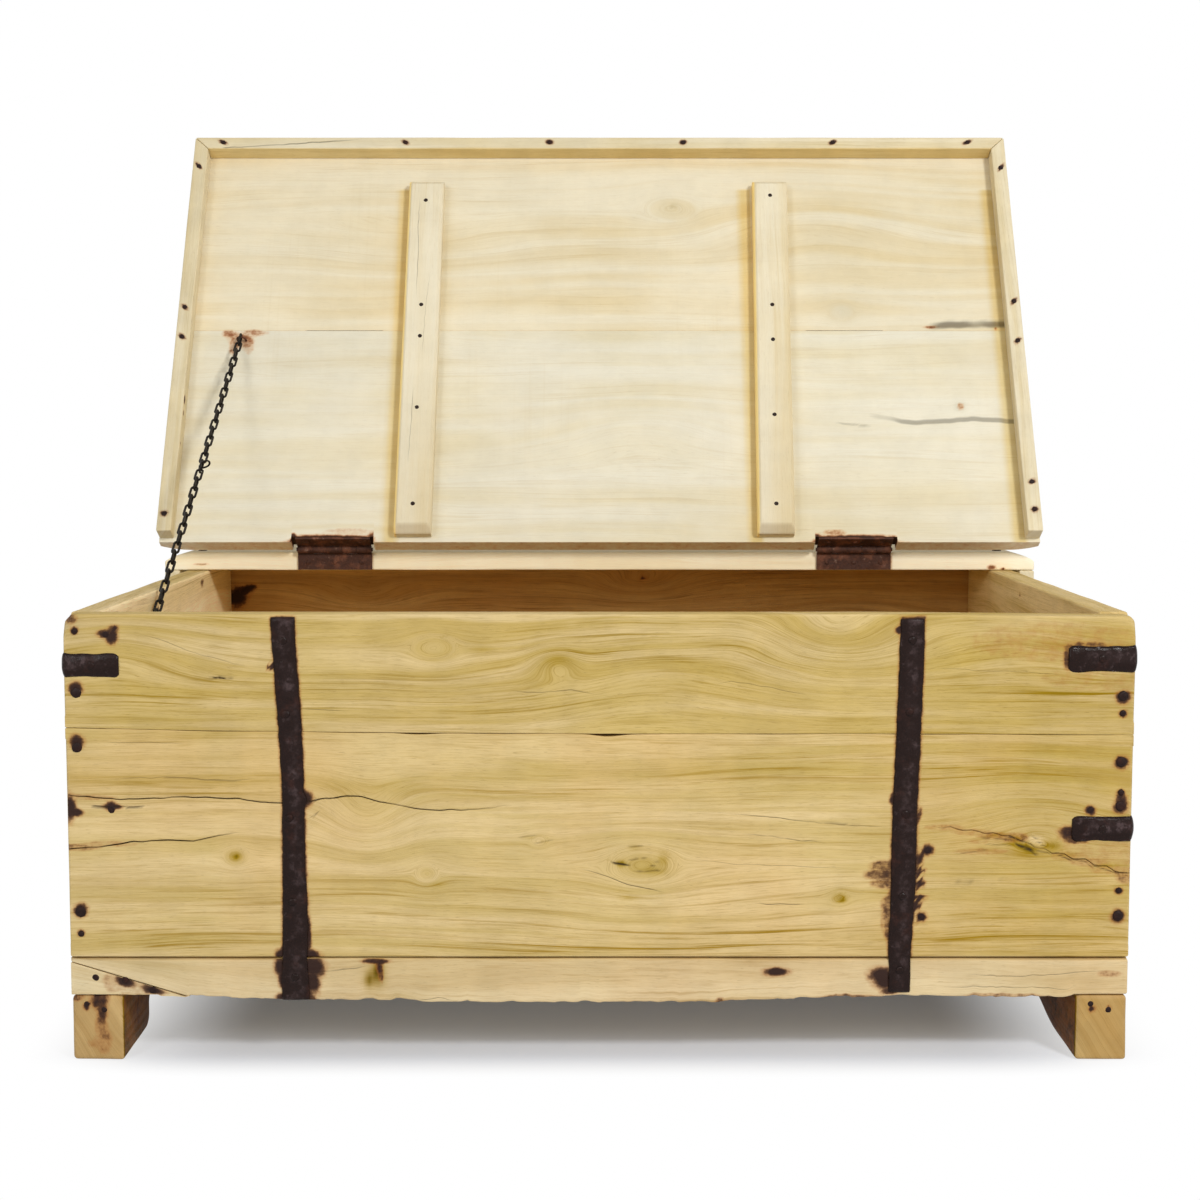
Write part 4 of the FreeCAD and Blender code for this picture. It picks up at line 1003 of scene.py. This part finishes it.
MORTISE_LINES = [m + s * (MORTISE_REACH + d) for m in HINGE_MIDDLES for s in (-1, 1) for d in (-0.15, 0.15)]
for node, start, end, seed, material, shape, extra, cracks in (
    ("lid_front_board", LID_FRONT, LID_SEAM, 61, LID_WOOD, over_ends, END_LINES, LID_FRONT_CRACKS),
    ("lid_rear_board", LID_SEAM, LID_REAR, 64, PALE_WOOD, lid_rear_shape, END_LINES + MORTISE_LINES, LID_REAR_CRACKS),
):
    plank(
        node, material, 0, 1, seed, (5, 4, 6), ((-PANEL_HALF, start, WALL_TOP), (PANEL_HALF, end, PANEL_TOP)),
        "lid", radius=0.4, shape=shape, extra=(extra, (), ()), stains=lid_marks, shade=lid_shade, painted_tint=lid_shadow_tint,
        swirls=LID_SWIRLS, knots=LID_RINGS, warp=12, sunk=0.1, cracks=cracks, crack_across=1, crack_face=(2, -1),
    )

# Rims under the lid, mitred at the front corners
RIM_NAIL_INSET = 9
FRONT_RIM_NAILS = [
    (share * 2 * PANEL_HALF - PANEL_HALF, LID_FRONT + RIM_NAIL_INSET)
    for share in (0.035, 0.26, 0.438, 0.603, 0.788, 0.954)
]
SIDE_RIM_NAILS = [
    (side * (PANEL_HALF - RIM_NAIL_INSET), RIM_REAR + (LID_FRONT - RIM_REAR) * share)
    for side, shares in ((-1, (0.04, 0.47, 0.545, 0.92)), (1, (0.05, 0.115, 0.46, 0.56, 0.915)))
    for share in shares
]
# How much the mitres, with their gap, shorten the rims along the nails' lines
MITRE_GAP = 0.2
MITRED_FRONT = (PANEL_HALF - RIM_NAIL_INSET - MITRE_GAP) / PANEL_HALF
MITRED_SIDE = (RIM_REAR - LID_FRONT - RIM_NAIL_INSET - MITRE_GAP) / (RIM_REAR - LID_FRONT)
RIM_SPOTS = [(x / MITRED_FRONT, y, 5, 4.2) for x, y in FRONT_RIM_NAILS]
RIM_SPOTS += [(x, RIM_REAR - (RIM_REAR - y) / MITRED_SIDE, 5, 4.2) for x, y in SIDE_RIM_NAILS]
RIM_INNER_SPOTS = [(392, 450, 6, 4, 0.3), (412, 451, 4, 2.5, 0.1), (462, 450, 2.5, 2, 0.1)]
RIM_CRACKS = (Crack([(-555, -9.5), (-500, -12.5), (-450, -16), (-400, -20), (-345, -24)], 1.1, 0.5, 0.6),)


def rim_marks(points, away):
    below = stained(RIM_SPOTS, 2, -1)(points, away)
    inner = np.where(points[:, 0] < 0, stained(RIM_INNER_SPOTS, 0, 1, 0.5)(points, away), -1.0)
    return np.where(away[:, 2] < -0.2, below, inner)


def front_mitre(points, flat):
    out = points.copy()
    out[:, 0] *= (PANEL_HALF - MITRE_GAP - (points[:, 1] - LID_FRONT)) / PANEL_HALF
    return out


def side_mitre(points, flat):
    start = LID_FRONT + MITRE_GAP + PANEL_HALF - np.abs(points[:, 0])
    out = points.copy()
    out[:, 1] = RIM_REAR - (RIM_REAR - points[:, 1]) * (RIM_REAR - start) / (RIM_REAR - LID_FRONT)
    return out


# The front rim's inner face, in shade, takes the warm painted shade tint
plank(
    "lid_front_rim", RIM_WOOD, 0, 1, 81, (5, 4, 4),
    ((-PANEL_HALF, LID_FRONT, RIM_LOW), (PANEL_HALF, LID_FRONT + RIM_THICK, WALL_TOP)), "lid", radius=2,
    shape=front_mitre, stains=rim_marks, sunk=0.4, painted_tint=faced(1, 1, 0.75), cracks=RIM_CRACKS, crack_across=1,
    crack_face=(2, -1),
)
for node, left, seed in (("lid_left_rim", -PANEL_HALF, 82), ("lid_right_rim", PANEL_HALF - RIM_THICK, 84)):
    plank(
        node, RIM_WOOD, 1, 0, seed, (4, 5, 4), ((left, LID_FRONT, RIM_LOW), (left + RIM_THICK, RIM_REAR, WALL_TOP)),
        "lid", radius=2, shape=side_mitre, stains=rim_marks, sunk=0.4,
    )

# Battens: middle at the front and at the rear, seed, cracks, and where along them the screws are
BATTEN_CRACKS = (
    Crack([(70, -8), (120, -9), (180, -7), (240, -8)], 0.5, 0.5, 0.5, 8),
    Crack([(380, -6), (450, -7), (500, -9)], 0.5, 0.5, 0.5, 8),
    Crack([(200, 10), (260, 6), (330, 4)], 0.4, 0.4, 0.45, 6),
)
BATTENS = {
    "left_batten": (-245, -245, 91, BATTEN_CRACKS, (0.07, 0.33, 0.53, 0.62, 0.93)),
    "right_batten": (241, 231, 93, (), (0.07, 0.31, 0.52, 0.62, 0.945)),
}
SIDE_BEVEL, END_BEVEL = 5, 11


def batten_shape(front_x, rear_x):
    """Bevels the lower edges and sets the batten in its place, a little askew."""
    def shape(points, flat):
        side = BATTEN_HALF - np.abs(flat[:, 0])
        end = np.minimum(flat[:, 1] - BATTEN_FRONT, BATTEN_REAR - flat[:, 1])
        lift = np.maximum(np.clip(SIDE_BEVEL - side, 0, SIDE_BEVEL), np.clip(END_BEVEL - end, 0, END_BEVEL))
        out = points.copy()
        out[:, 2] += lift * np.clip((WALL_TOP - points[:, 2]) / (WALL_TOP - BATTEN_LOW), 0, 1)
        share = (flat[:, 1] - BATTEN_REAR) / (BATTEN_FRONT - BATTEN_REAR)
        out[:, 0] += rear_x + (front_x - rear_x) * share
        return out
    return shape


# The batten's left side, turned from the key lamp: painted lighter, with the warm painted shade tint
def batten_shade_tint(points, away):
    return smooth(-points[:, 0], 20.5, 22.5)


def batten_painted_light(points, away):
    return 0.65 * batten_shade_tint(points, away)


BEVEL_X, BEVEL_Y = BATTEN_HALF - SIDE_BEVEL, (BATTEN_FRONT + END_BEVEL, BATTEN_REAR - END_BEVEL)
for node, (front_x, rear_x, seed, cracks, _) in BATTENS.items():
    plank(
        node, LID_WOOD, 1, 0, seed, (2.5, 6, 4),
        ((-BATTEN_HALF, BATTEN_FRONT, BATTEN_LOW), (BATTEN_HALF, BATTEN_REAR, WALL_TOP)), "lid",
        radius=1.2, shape=batten_shape(front_x, rear_x), sunk=0.3, cracks=cracks, crack_across=0,
        crack_face=(2, -1), extra=((-BEVEL_X, BEVEL_X), BEVEL_Y, ()), shade=batten_painted_light, painted_tint=batten_shade_tint,
    )

# Straps
STRAP_THICK = 3


def strap(node, edges, seed):
    """A long hammered strap with uneven edges."""
    foot, top = edges[0, 0], edges[-1, 0]
    points, faces = box_grid(
        np.linspace(0, 1, 13), np.array([-STRAP_THICK, -2.2, -1, 0]), np.arange(foot, top + 0.1, 2.5)
    )
    t, z = points[:, 0].copy(), points[:, 2]
    left, right = strap_edges(edges, z)
    left = left + (0.5 * ripple(z, 9, seed) + 0.4 * ripple(z, 33, seed + 1))
    right = right + 0.6 * ripple(z, 11, seed + 2)
    points[:, 0] = left + (right - left) * t
    side, end = np.minimum(t, 1 - t) * 24, np.minimum(z - foot, top - z)
    fall = 0.8 * (2 * t - 1) ** 2 + 0.6 * np.clip(1 - side / 2.6, 0, 1) ** 2 + np.clip(1 - end / 2.6, 0, 1) ** 2
    dents = 0.8 * (1 + layered(points, (11, 30, 9), seed + 4, 2))
    points[:, 1] += (fall + dents) * np.clip(-points[:, 1] / STRAP_THICK, 0, 1)
    points[:, 1] = np.minimum(points[:, 1], 0.6)
    # A painted highlight along the strap's crown, broken by the dents
    painted_highlight = np.clip(1 - ((2 * t - 1.15) / 0.7) ** 2, 0, 1) * np.clip(1.5 - 1.25 * dents, 0, 1)
    make(f"{node}.hammered", points, faces, STRAP_IRON, "chest", (node,), {"painted_highlight": first(painted_highlight)})


def corner_iron(node, side, bottom, top, front_leg, seed):
    """A strap bent round a front corner, with a rounded tip and flared ends."""
    bend, side_leg = 4, 62
    arc, straight = bend * math.pi / 2, front_leg - bend
    run = straight + arc + side_leg - bend
    round_bend, past_bend = straight + arc * np.linspace(0, 1, 7), np.linspace(straight + arc, run, 24)
    along = np.unique(np.concatenate([np.arange(0, straight, 2.4), round_bend, past_bend]))
    points, faces = box_grid(along, np.array([0, 1, 2.2, STRAP_THICK]), np.linspace(-1, 1, 13))
    s, t, v = points.T
    tip = np.minimum(s, run - s)
    narrow = 1 - 0.24 * np.clip(1 - tip / 5, 0, 1) ** 2 - 0.07 * np.sin(np.clip(s / front_leg, 0, 1) * math.pi)
    z = (bottom + top) / 2 + v * ((top - bottom) / 2) * narrow
    z = z + 0.7 * noise(np.stack([s, 4 * v, 0 * s], 1), (12, 3, 1), seed)
    worn_off = 2.1 * v**2 + 0.5 * np.clip((np.abs(v) - 0.8) / 0.2, 0, 1) ** 2
    worn_off = worn_off + 0.8 * np.clip(1 - tip / 2.4, 0, 1) ** 2
    dents = 0.5 * (1 + layered(np.stack([s, 0 * s, z], 1), (10, 30, 13), seed + 3, 2))
    t = np.clip(t - (worn_off + dents) * np.clip(t / STRAP_THICK, 0, 1), -0.4, STRAP_THICK)
    angle = np.clip((s - straight) / arc, 0, 1) * math.pi / 2
    x = BODY_HALF - front_leg + np.minimum(s, straight) + bend * np.sin(angle) + np.sin(angle) * t
    y = bend * (1 - np.cos(angle)) + np.maximum(s - straight - arc, 0) - np.cos(angle) * t
    # A painted highlight along the corner iron's crown, fading out towards its front tip
    painted_highlight = 1.5 * np.clip(1 - ((v - 0.2) / 0.6) ** 2, 0, 1) * smooth(s, 12, 34) * np.clip(1.4 - 0.8 * dents, 0, 1)
    faces = faces[:, ::-1] if side > 0 else faces
    points = np.stack([side * x, y, z], 1)
    make(f"{node}.hammered", points, faces, STRAP_IRON, "chest", (node,), {"painted_highlight": first(painted_highlight)})


strap("strap_front_left", LEFT_STRAP, 101)
strap("strap_front_right", RIGHT_STRAP, 105)
# Corner irons: node, side, lower and upper edge, length on the front, seed
CORNER_IRONS = (
    ("corner_strap_left", -1, 403, 428, 57, 111), ("corner_strap_right_upper", 1, 408, 436, 69, 113),
    ("corner_strap_right_lower", 1, 232, 259, 62, 115),
)
for row in CORNER_IRONS:
    corner_iron(*row)


# Nail and screw heads
HEAD_RINGS = ((1, -1.5), (1, 0.15), (0.93, 0.5), (0.74, 0.82), (0.45, 0.96), (0.16, 1))
HEAD_SIDES = 16


def heads(name, places, seed, material=NAIL_IRON, height=1.9, body="chest", slotted=False):
    """Low hammered heads. Each place is a middle, an outward direction and a radius.

    A name with a dot in it begins with the CAD node that the heads stand for."""
    angle = np.linspace(0, 2 * math.pi, HEAD_SIDES, endpoint=False)
    turn, pairs = np.arange(HEAD_SIDES), np.arange(0, HEAD_SIDES, 2)
    all_points, all_faces, start = [], [], 0
    for index, (middle, outward, radius) in enumerate(places):
        middle, outward = np.array(middle, float), np.array(outward, float)
        side = np.cross(outward, (0, 0, 1) if abs(outward[2]) < 0.9 else (1, 0, 0))
        side /= np.linalg.norm(side)
        up = np.cross(outward, side)
        key = np.stack([np.cos(angle) * 1.6, np.sin(angle) * 1.6, np.full(HEAD_SIDES, 7.3 * index)], 1)
        uneven = 1 + (0.05 if slotted else 0.14) * noise(key, (1, 1, 1), seed)
        points = []
        for reach, rise in HEAD_RINGS:
            spread = radius * reach * uneven
            out = np.full(HEAD_SIDES, height * rise if rise > 0 else rise)
            if rise > 0.4 and slotted:
                out = out - 0.5 * height * (np.abs(np.sin(angle + index)) * reach < 0.18)
            elif rise > 0.4:
                out = out + 0.12 * height * (noise(key * reach + 3, (1, 1, 1), seed + 1) - 1)
            ring = middle + np.outer(np.cos(angle) * spread, side) + np.outer(np.sin(angle) * spread, up)
            points.append(ring + np.outer(out, outward))
        tip = middle + outward * height * (0.5 if slotted else 0.95)
        all_points.append(np.concatenate(points + [[tip], [middle - outward * 1.5]]))
        last, top = start + (len(HEAD_RINGS) - 1) * HEAD_SIDES, start + len(HEAD_RINGS) * HEAD_SIDES
        for ring in range(start, last, HEAD_SIDES):
            a, b = ring + turn, ring + (turn + 1) % HEAD_SIDES
            all_faces.append(np.stack([a, b, b + HEAD_SIDES, a + HEAD_SIDES], 1))
        after = (pairs + 2) % HEAD_SIDES
        all_faces.append(np.stack([last + pairs, last + pairs + 1, last + after, 0 * pairs + top], 1))
        all_faces.append(np.stack([start + after, start + pairs + 1, start + pairs, 0 * pairs + top + 1], 1))
        start = top + 2
    nodes = (name.split(".")[0],) if "." in name else ()
    make(name, np.concatenate(all_points), np.concatenate(all_faces), material, body, nodes)


TO_FRONT, TO_BACK, UP, DOWN = (0, -1, 0), (0, 1, 0), (0, 0, 1), (0, 0, -1)
# How far a head is set into the wood, from the front and elsewhere
SET_FRONT, SET_IN = 0.6, 0.4
places = [((x, SET_FRONT, z), TO_FRONT, 0.9 * r) for x, z, r in FRONT_NAILS]
places += [((x, BODY_DEPTH - SET_IN, z), TO_BACK, 6) for x, z, _, _ in BACK_NAIL_SPOTS]
heads("wall_nails.forged", places, 121)
heads("old_nails", [((x, 1, z), TO_FRONT, r) for x, z, r in OLD_NAILS], 123, height=1.1)
# Straps' nails. Those of the long straps lean with the straps.
STRAP_FACE, STRAP_NAIL, CORNER_NAIL_Y = 2.2, 4.2, 46.5
places = []
for side, edges, inset, lean in ((-1, LEFT_STRAP, 225.5, 9), (1, RIGHT_STRAP, 229, 10)):
    foot, top = edges[[0, -1], 0]
    for share in (0.06, 0.25, 0.52, 0.74, 0.94):
        x, z = side * (BODY_HALF - inset - lean * share), top + (foot - top) * share
        places.append(((x, -STRAP_FACE, z), TO_FRONT, STRAP_NAIL))
for _, side, bottom, top, leg, _ in CORNER_IRONS:
    z = (bottom + top) / 2
    places.append(((side * (BODY_HALF - leg / 2), -STRAP_FACE, z), TO_FRONT, STRAP_NAIL))
    places.append(((side * (BODY_HALF + STRAP_FACE), CORNER_NAIL_Y, z), (side, 0, 0), STRAP_NAIL))
heads("strap_nails.forged", places, 125, STRAP_IRON, 1.7)
# Nails of the runners, the patch, the floor and the rail, as shares of what they are driven into
RUNNER_WIDE = 54
places = [
    ((left + RUNNER_WIDE * k, SET_FRONT, FLOOR_LOW * up), TO_FRONT, 3)
    for left in (-BODY_HALF, BODY_HALF - RUNNER_WIDE) for k, up in ((0.29, 0.86), (0.63, 0.77))
]
heads("runner_nails.forged", places, 127, height=1.2)
places = [
    ((-BODY_HALF + (PATCH_END + BODY_HALF) * k, 0.5, FLOOR_LOW + (PATCH_HIGH - FLOOR_LOW) * up), TO_FRONT, 3.6)
    for k, up in ((0.21, 0.52), (0.46, 0.44), (0.69, 0.13))
]
heads("patch_nails.forged", places, 129, height=1.2)
FLOOR_NAIL_X, RAIL_NAIL_X, RAIL_NAIL_Y, RAIL_RIM_NAIL_X = 507.5, 534.5, 778.5, 568
RAIL_DEPTH, RAIL_RIM_LOW = BODY_DEPTH - RAIL_FRONT, 453
places = [
    ((side * FLOOR_NAIL_X, start + (end - start) * k, FLOOR_TOP - SET_IN), UP, 3.5)
    for start, end in zip(FLOOR_SEAMS, FLOOR_SEAMS[1:]) for k in (0.25, 0.75) for side in SIDES
]
heads("floor_nails.forged", places, 131)
places = [
    ((side * RAIL_NAIL_X, RAIL_FRONT + RAIL_DEPTH * k, PANEL_TOP - SET_IN), UP, 6)
    for side in SIDES for k in (0.2, 0.8)
]
places += [((2 * BODY_HALF * k - BODY_HALF, RAIL_NAIL_Y, PANEL_TOP - SET_IN), UP, 6) for k in (0.25, 0.5, 0.75)]
heads("rail_nails.forged", places, 133)
places = [
    ((side * RAIL_RIM_NAIL_X, RAIL_FRONT + RAIL_DEPTH * k, RAIL_RIM_LOW + SET_IN), DOWN, 4)
    for side in SIDES for k in (0.18, 0.8)
]
heads("rail_rim_nails.forged", places, 135)
places = [((x, y, RIM_LOW + SET_IN), DOWN, 3.4) for x, y in FRONT_RIM_NAILS + SIDE_RIM_NAILS]
heads("rim_nails.forged", places, 137, height=1.3, body="lid")
places = [
    ((rear_x + (front_x - rear_x) * k, BATTEN_REAR + (BATTEN_FRONT - BATTEN_REAR) * k, BATTEN_LOW + 0.2), DOWN, 2.9)
    for front_x, rear_x, _, _, shares in BATTENS.values() for k in shares
]
heads("batten_screws.slotted", places, 139, SCREW_IRON, 0.9, "lid", True)

# Iron that keeps the frame's own shapes
HINGE_NODES = [f"{side}_hinge_{part}" for side in ("left", "right") for part in ("rail_leaf", "lid_leaf", "pin")]
CAD_IRON = {
    HINGE_IRON: (*HINGE_NODES, "lid_staple", "rail_leaf_screws", "lid_leaf_screws"),
    CHAIN_IRON: ("chain_lower_links", "chain_upper_links", "chain_hook", "chain_anchor_nail"),
}
for material, nodes in CAD_IRON.items():
    for node in nodes:
        for material_slot in frame["nodes"][node].material_slots:
            material_slot.link = "OBJECT"
            material_slot.material = material


def hook_eye(body):
    """The bent end of the hook half way up the chain, a narrow eye of wire that stands out to the right."""
    count, sides = 40, 12
    low, high = cad("chain_hook")
    long_way, wide_way = np.array([0.88, -0.1, 0.46]), np.array([-0.44, -0.25, 0.86])
    out_way = np.cross(long_way, wide_way)
    angle = np.linspace(0, 2 * math.pi, count, endpoint=False)
    turn = np.linspace(0, 2 * math.pi, sides, endpoint=False)
    width = 3.2 * np.sin(angle) * (1.12 + 0.3 * np.cos(angle))
    path = (low + high) / 2 + np.outer(7.2 * np.cos(angle) + 4.6, long_way) + np.outer(width, wide_way)
    ahead = np.roll(path, -1, 0) - np.roll(path, 1, 0)
    ahead /= np.linalg.norm(ahead, axis=1)[:, None]
    rings = np.cross(ahead, out_way)[:, None] * np.cos(turn)[:, None] + out_way * np.sin(turn)[:, None]
    wire = 1.25 * (1 + 0.08 * np.cos(3 * angle + 1))
    points = (path[:, None] + rings * wire[:, None, None]).reshape(-1, 3)
    ring = np.arange(count)[:, None] * sides
    a, b = ring + np.arange(sides), ring + (np.arange(sides) + 1) % sides
    faces = np.stack([a, b, (b + sides) % (count * sides), (a + sides) % (count * sides)], -1).reshape(-1, 4)
    make("chain_hook_eye.bent", points, faces, CHAIN_IRON, body)


BODIES = frame["record"]["behaviour"]["bodies"]
hook_eye(next(body for body, nodes in BODIES.items() if "chain_hook" in nodes))


# Stage: pale floor, white surroundings, soft light. In metres.
def stage_floor():
    """A pale floor that keeps the shadow under the chest, lifted there by a faint painted glow, and runs out into
    white round it.
    """
    half = 12
    mesh = bpy.data.meshes.new("floor")
    mesh.from_pydata([(-half, -half, 0), (half, -half, 0), (half, half, 0), (-half, half, 0)], [], [(0, 1, 2, 3)])
    floor = bpy.data.objects.new("floor", mesh)
    bpy.context.scene.collection.objects.link(floor)
    material = bpy.data.materials.new("floor")
    n = Nodes(material)
    x, y, _ = n.split(n.place())

    def past(value, reach, fade):
        """0 within the shadow's reach, 1 where it has faded."""
        share = n.math("DIVIDE", n.math("SUBTRACT", n.math("ABSOLUTE", value), reach), fade)
        return n.math("POWER", n.math("MAXIMUM", share, 0.0), 2.0)

    beyond = n.math("SQRT", n.plus(past(x, 0.37, 0.25), past(n.plus(y, 0.05), 0.372, 0.085)))
    # Seen straight on, the floor glows: 0.09 of white under the chest, painted light that lifts its shadow, and full
    # white further out
    white = n.times(n.seen(), n.span(beyond, 0, 1, 0.09, 1))
    shader = n.shader((0.78, 0.81, 0.88, 1), 0.9, 0)
    mixed = n.add("MixShader", {0: white, 1: shader, 2: n.add("Emission", {})[0]})
    n.add("OutputMaterial", {"Surface": mixed[0]})
    mesh.materials.append(material)


def surroundings(level):
    """White to look at, and a light of the given level."""
    world = bpy.data.worlds.new("studio")
    n = Nodes(world)
    back = n.add("Background", {"Color": (1, 1, 1, 1), "Strength": n.span(n.seen(), 0, 1, level, 1)})
    n.add("OutputWorld", {"Surface": back[0]})
    bpy.context.scene.world = world


def lamp(name, place, size, power):
    """A round soft lamp turned to the middle of the chest."""
    light = bpy.data.lights.new(name, "AREA")
    light.shape = "DISK"
    light.size = size
    light.energy = power
    lamp_object = bpy.data.objects.new(name, light)
    bpy.context.scene.collection.objects.link(lamp_object)
    lamp_object.location = place
    x, y, z = np.array((0, 0, 0.5)) - place
    lamp_object.rotation_euler = (math.atan2(math.hypot(x, y), -z), 0, math.atan2(y, x) - math.pi / 2)


stage_floor()
surroundings(0.45)
lamp("key", (1.7, -2.8, 2.5), 0.7, 70)
lamp("fill", (-1.7, -2.9, 1.8), 1, 22)

# Camera at the photograph's place
camera_data = bpy.data.cameras.new("camera")
camera_data.sensor_width = 36
camera_data.sensor_fit = "HORIZONTAL"
camera_data.lens = 59.09
camera_data.clip_end = 60
camera = bpy.data.objects.new("camera", camera_data)
bpy.context.scene.collection.objects.link(camera)
camera.location = (0.0005, -2.4535, 0.6627)
camera.rotation_euler = (math.radians(90 - 5.13), 0, 0)
bpy.context.scene.camera = camera
bpy.context.scene.view_settings.view_transform = "Standard"
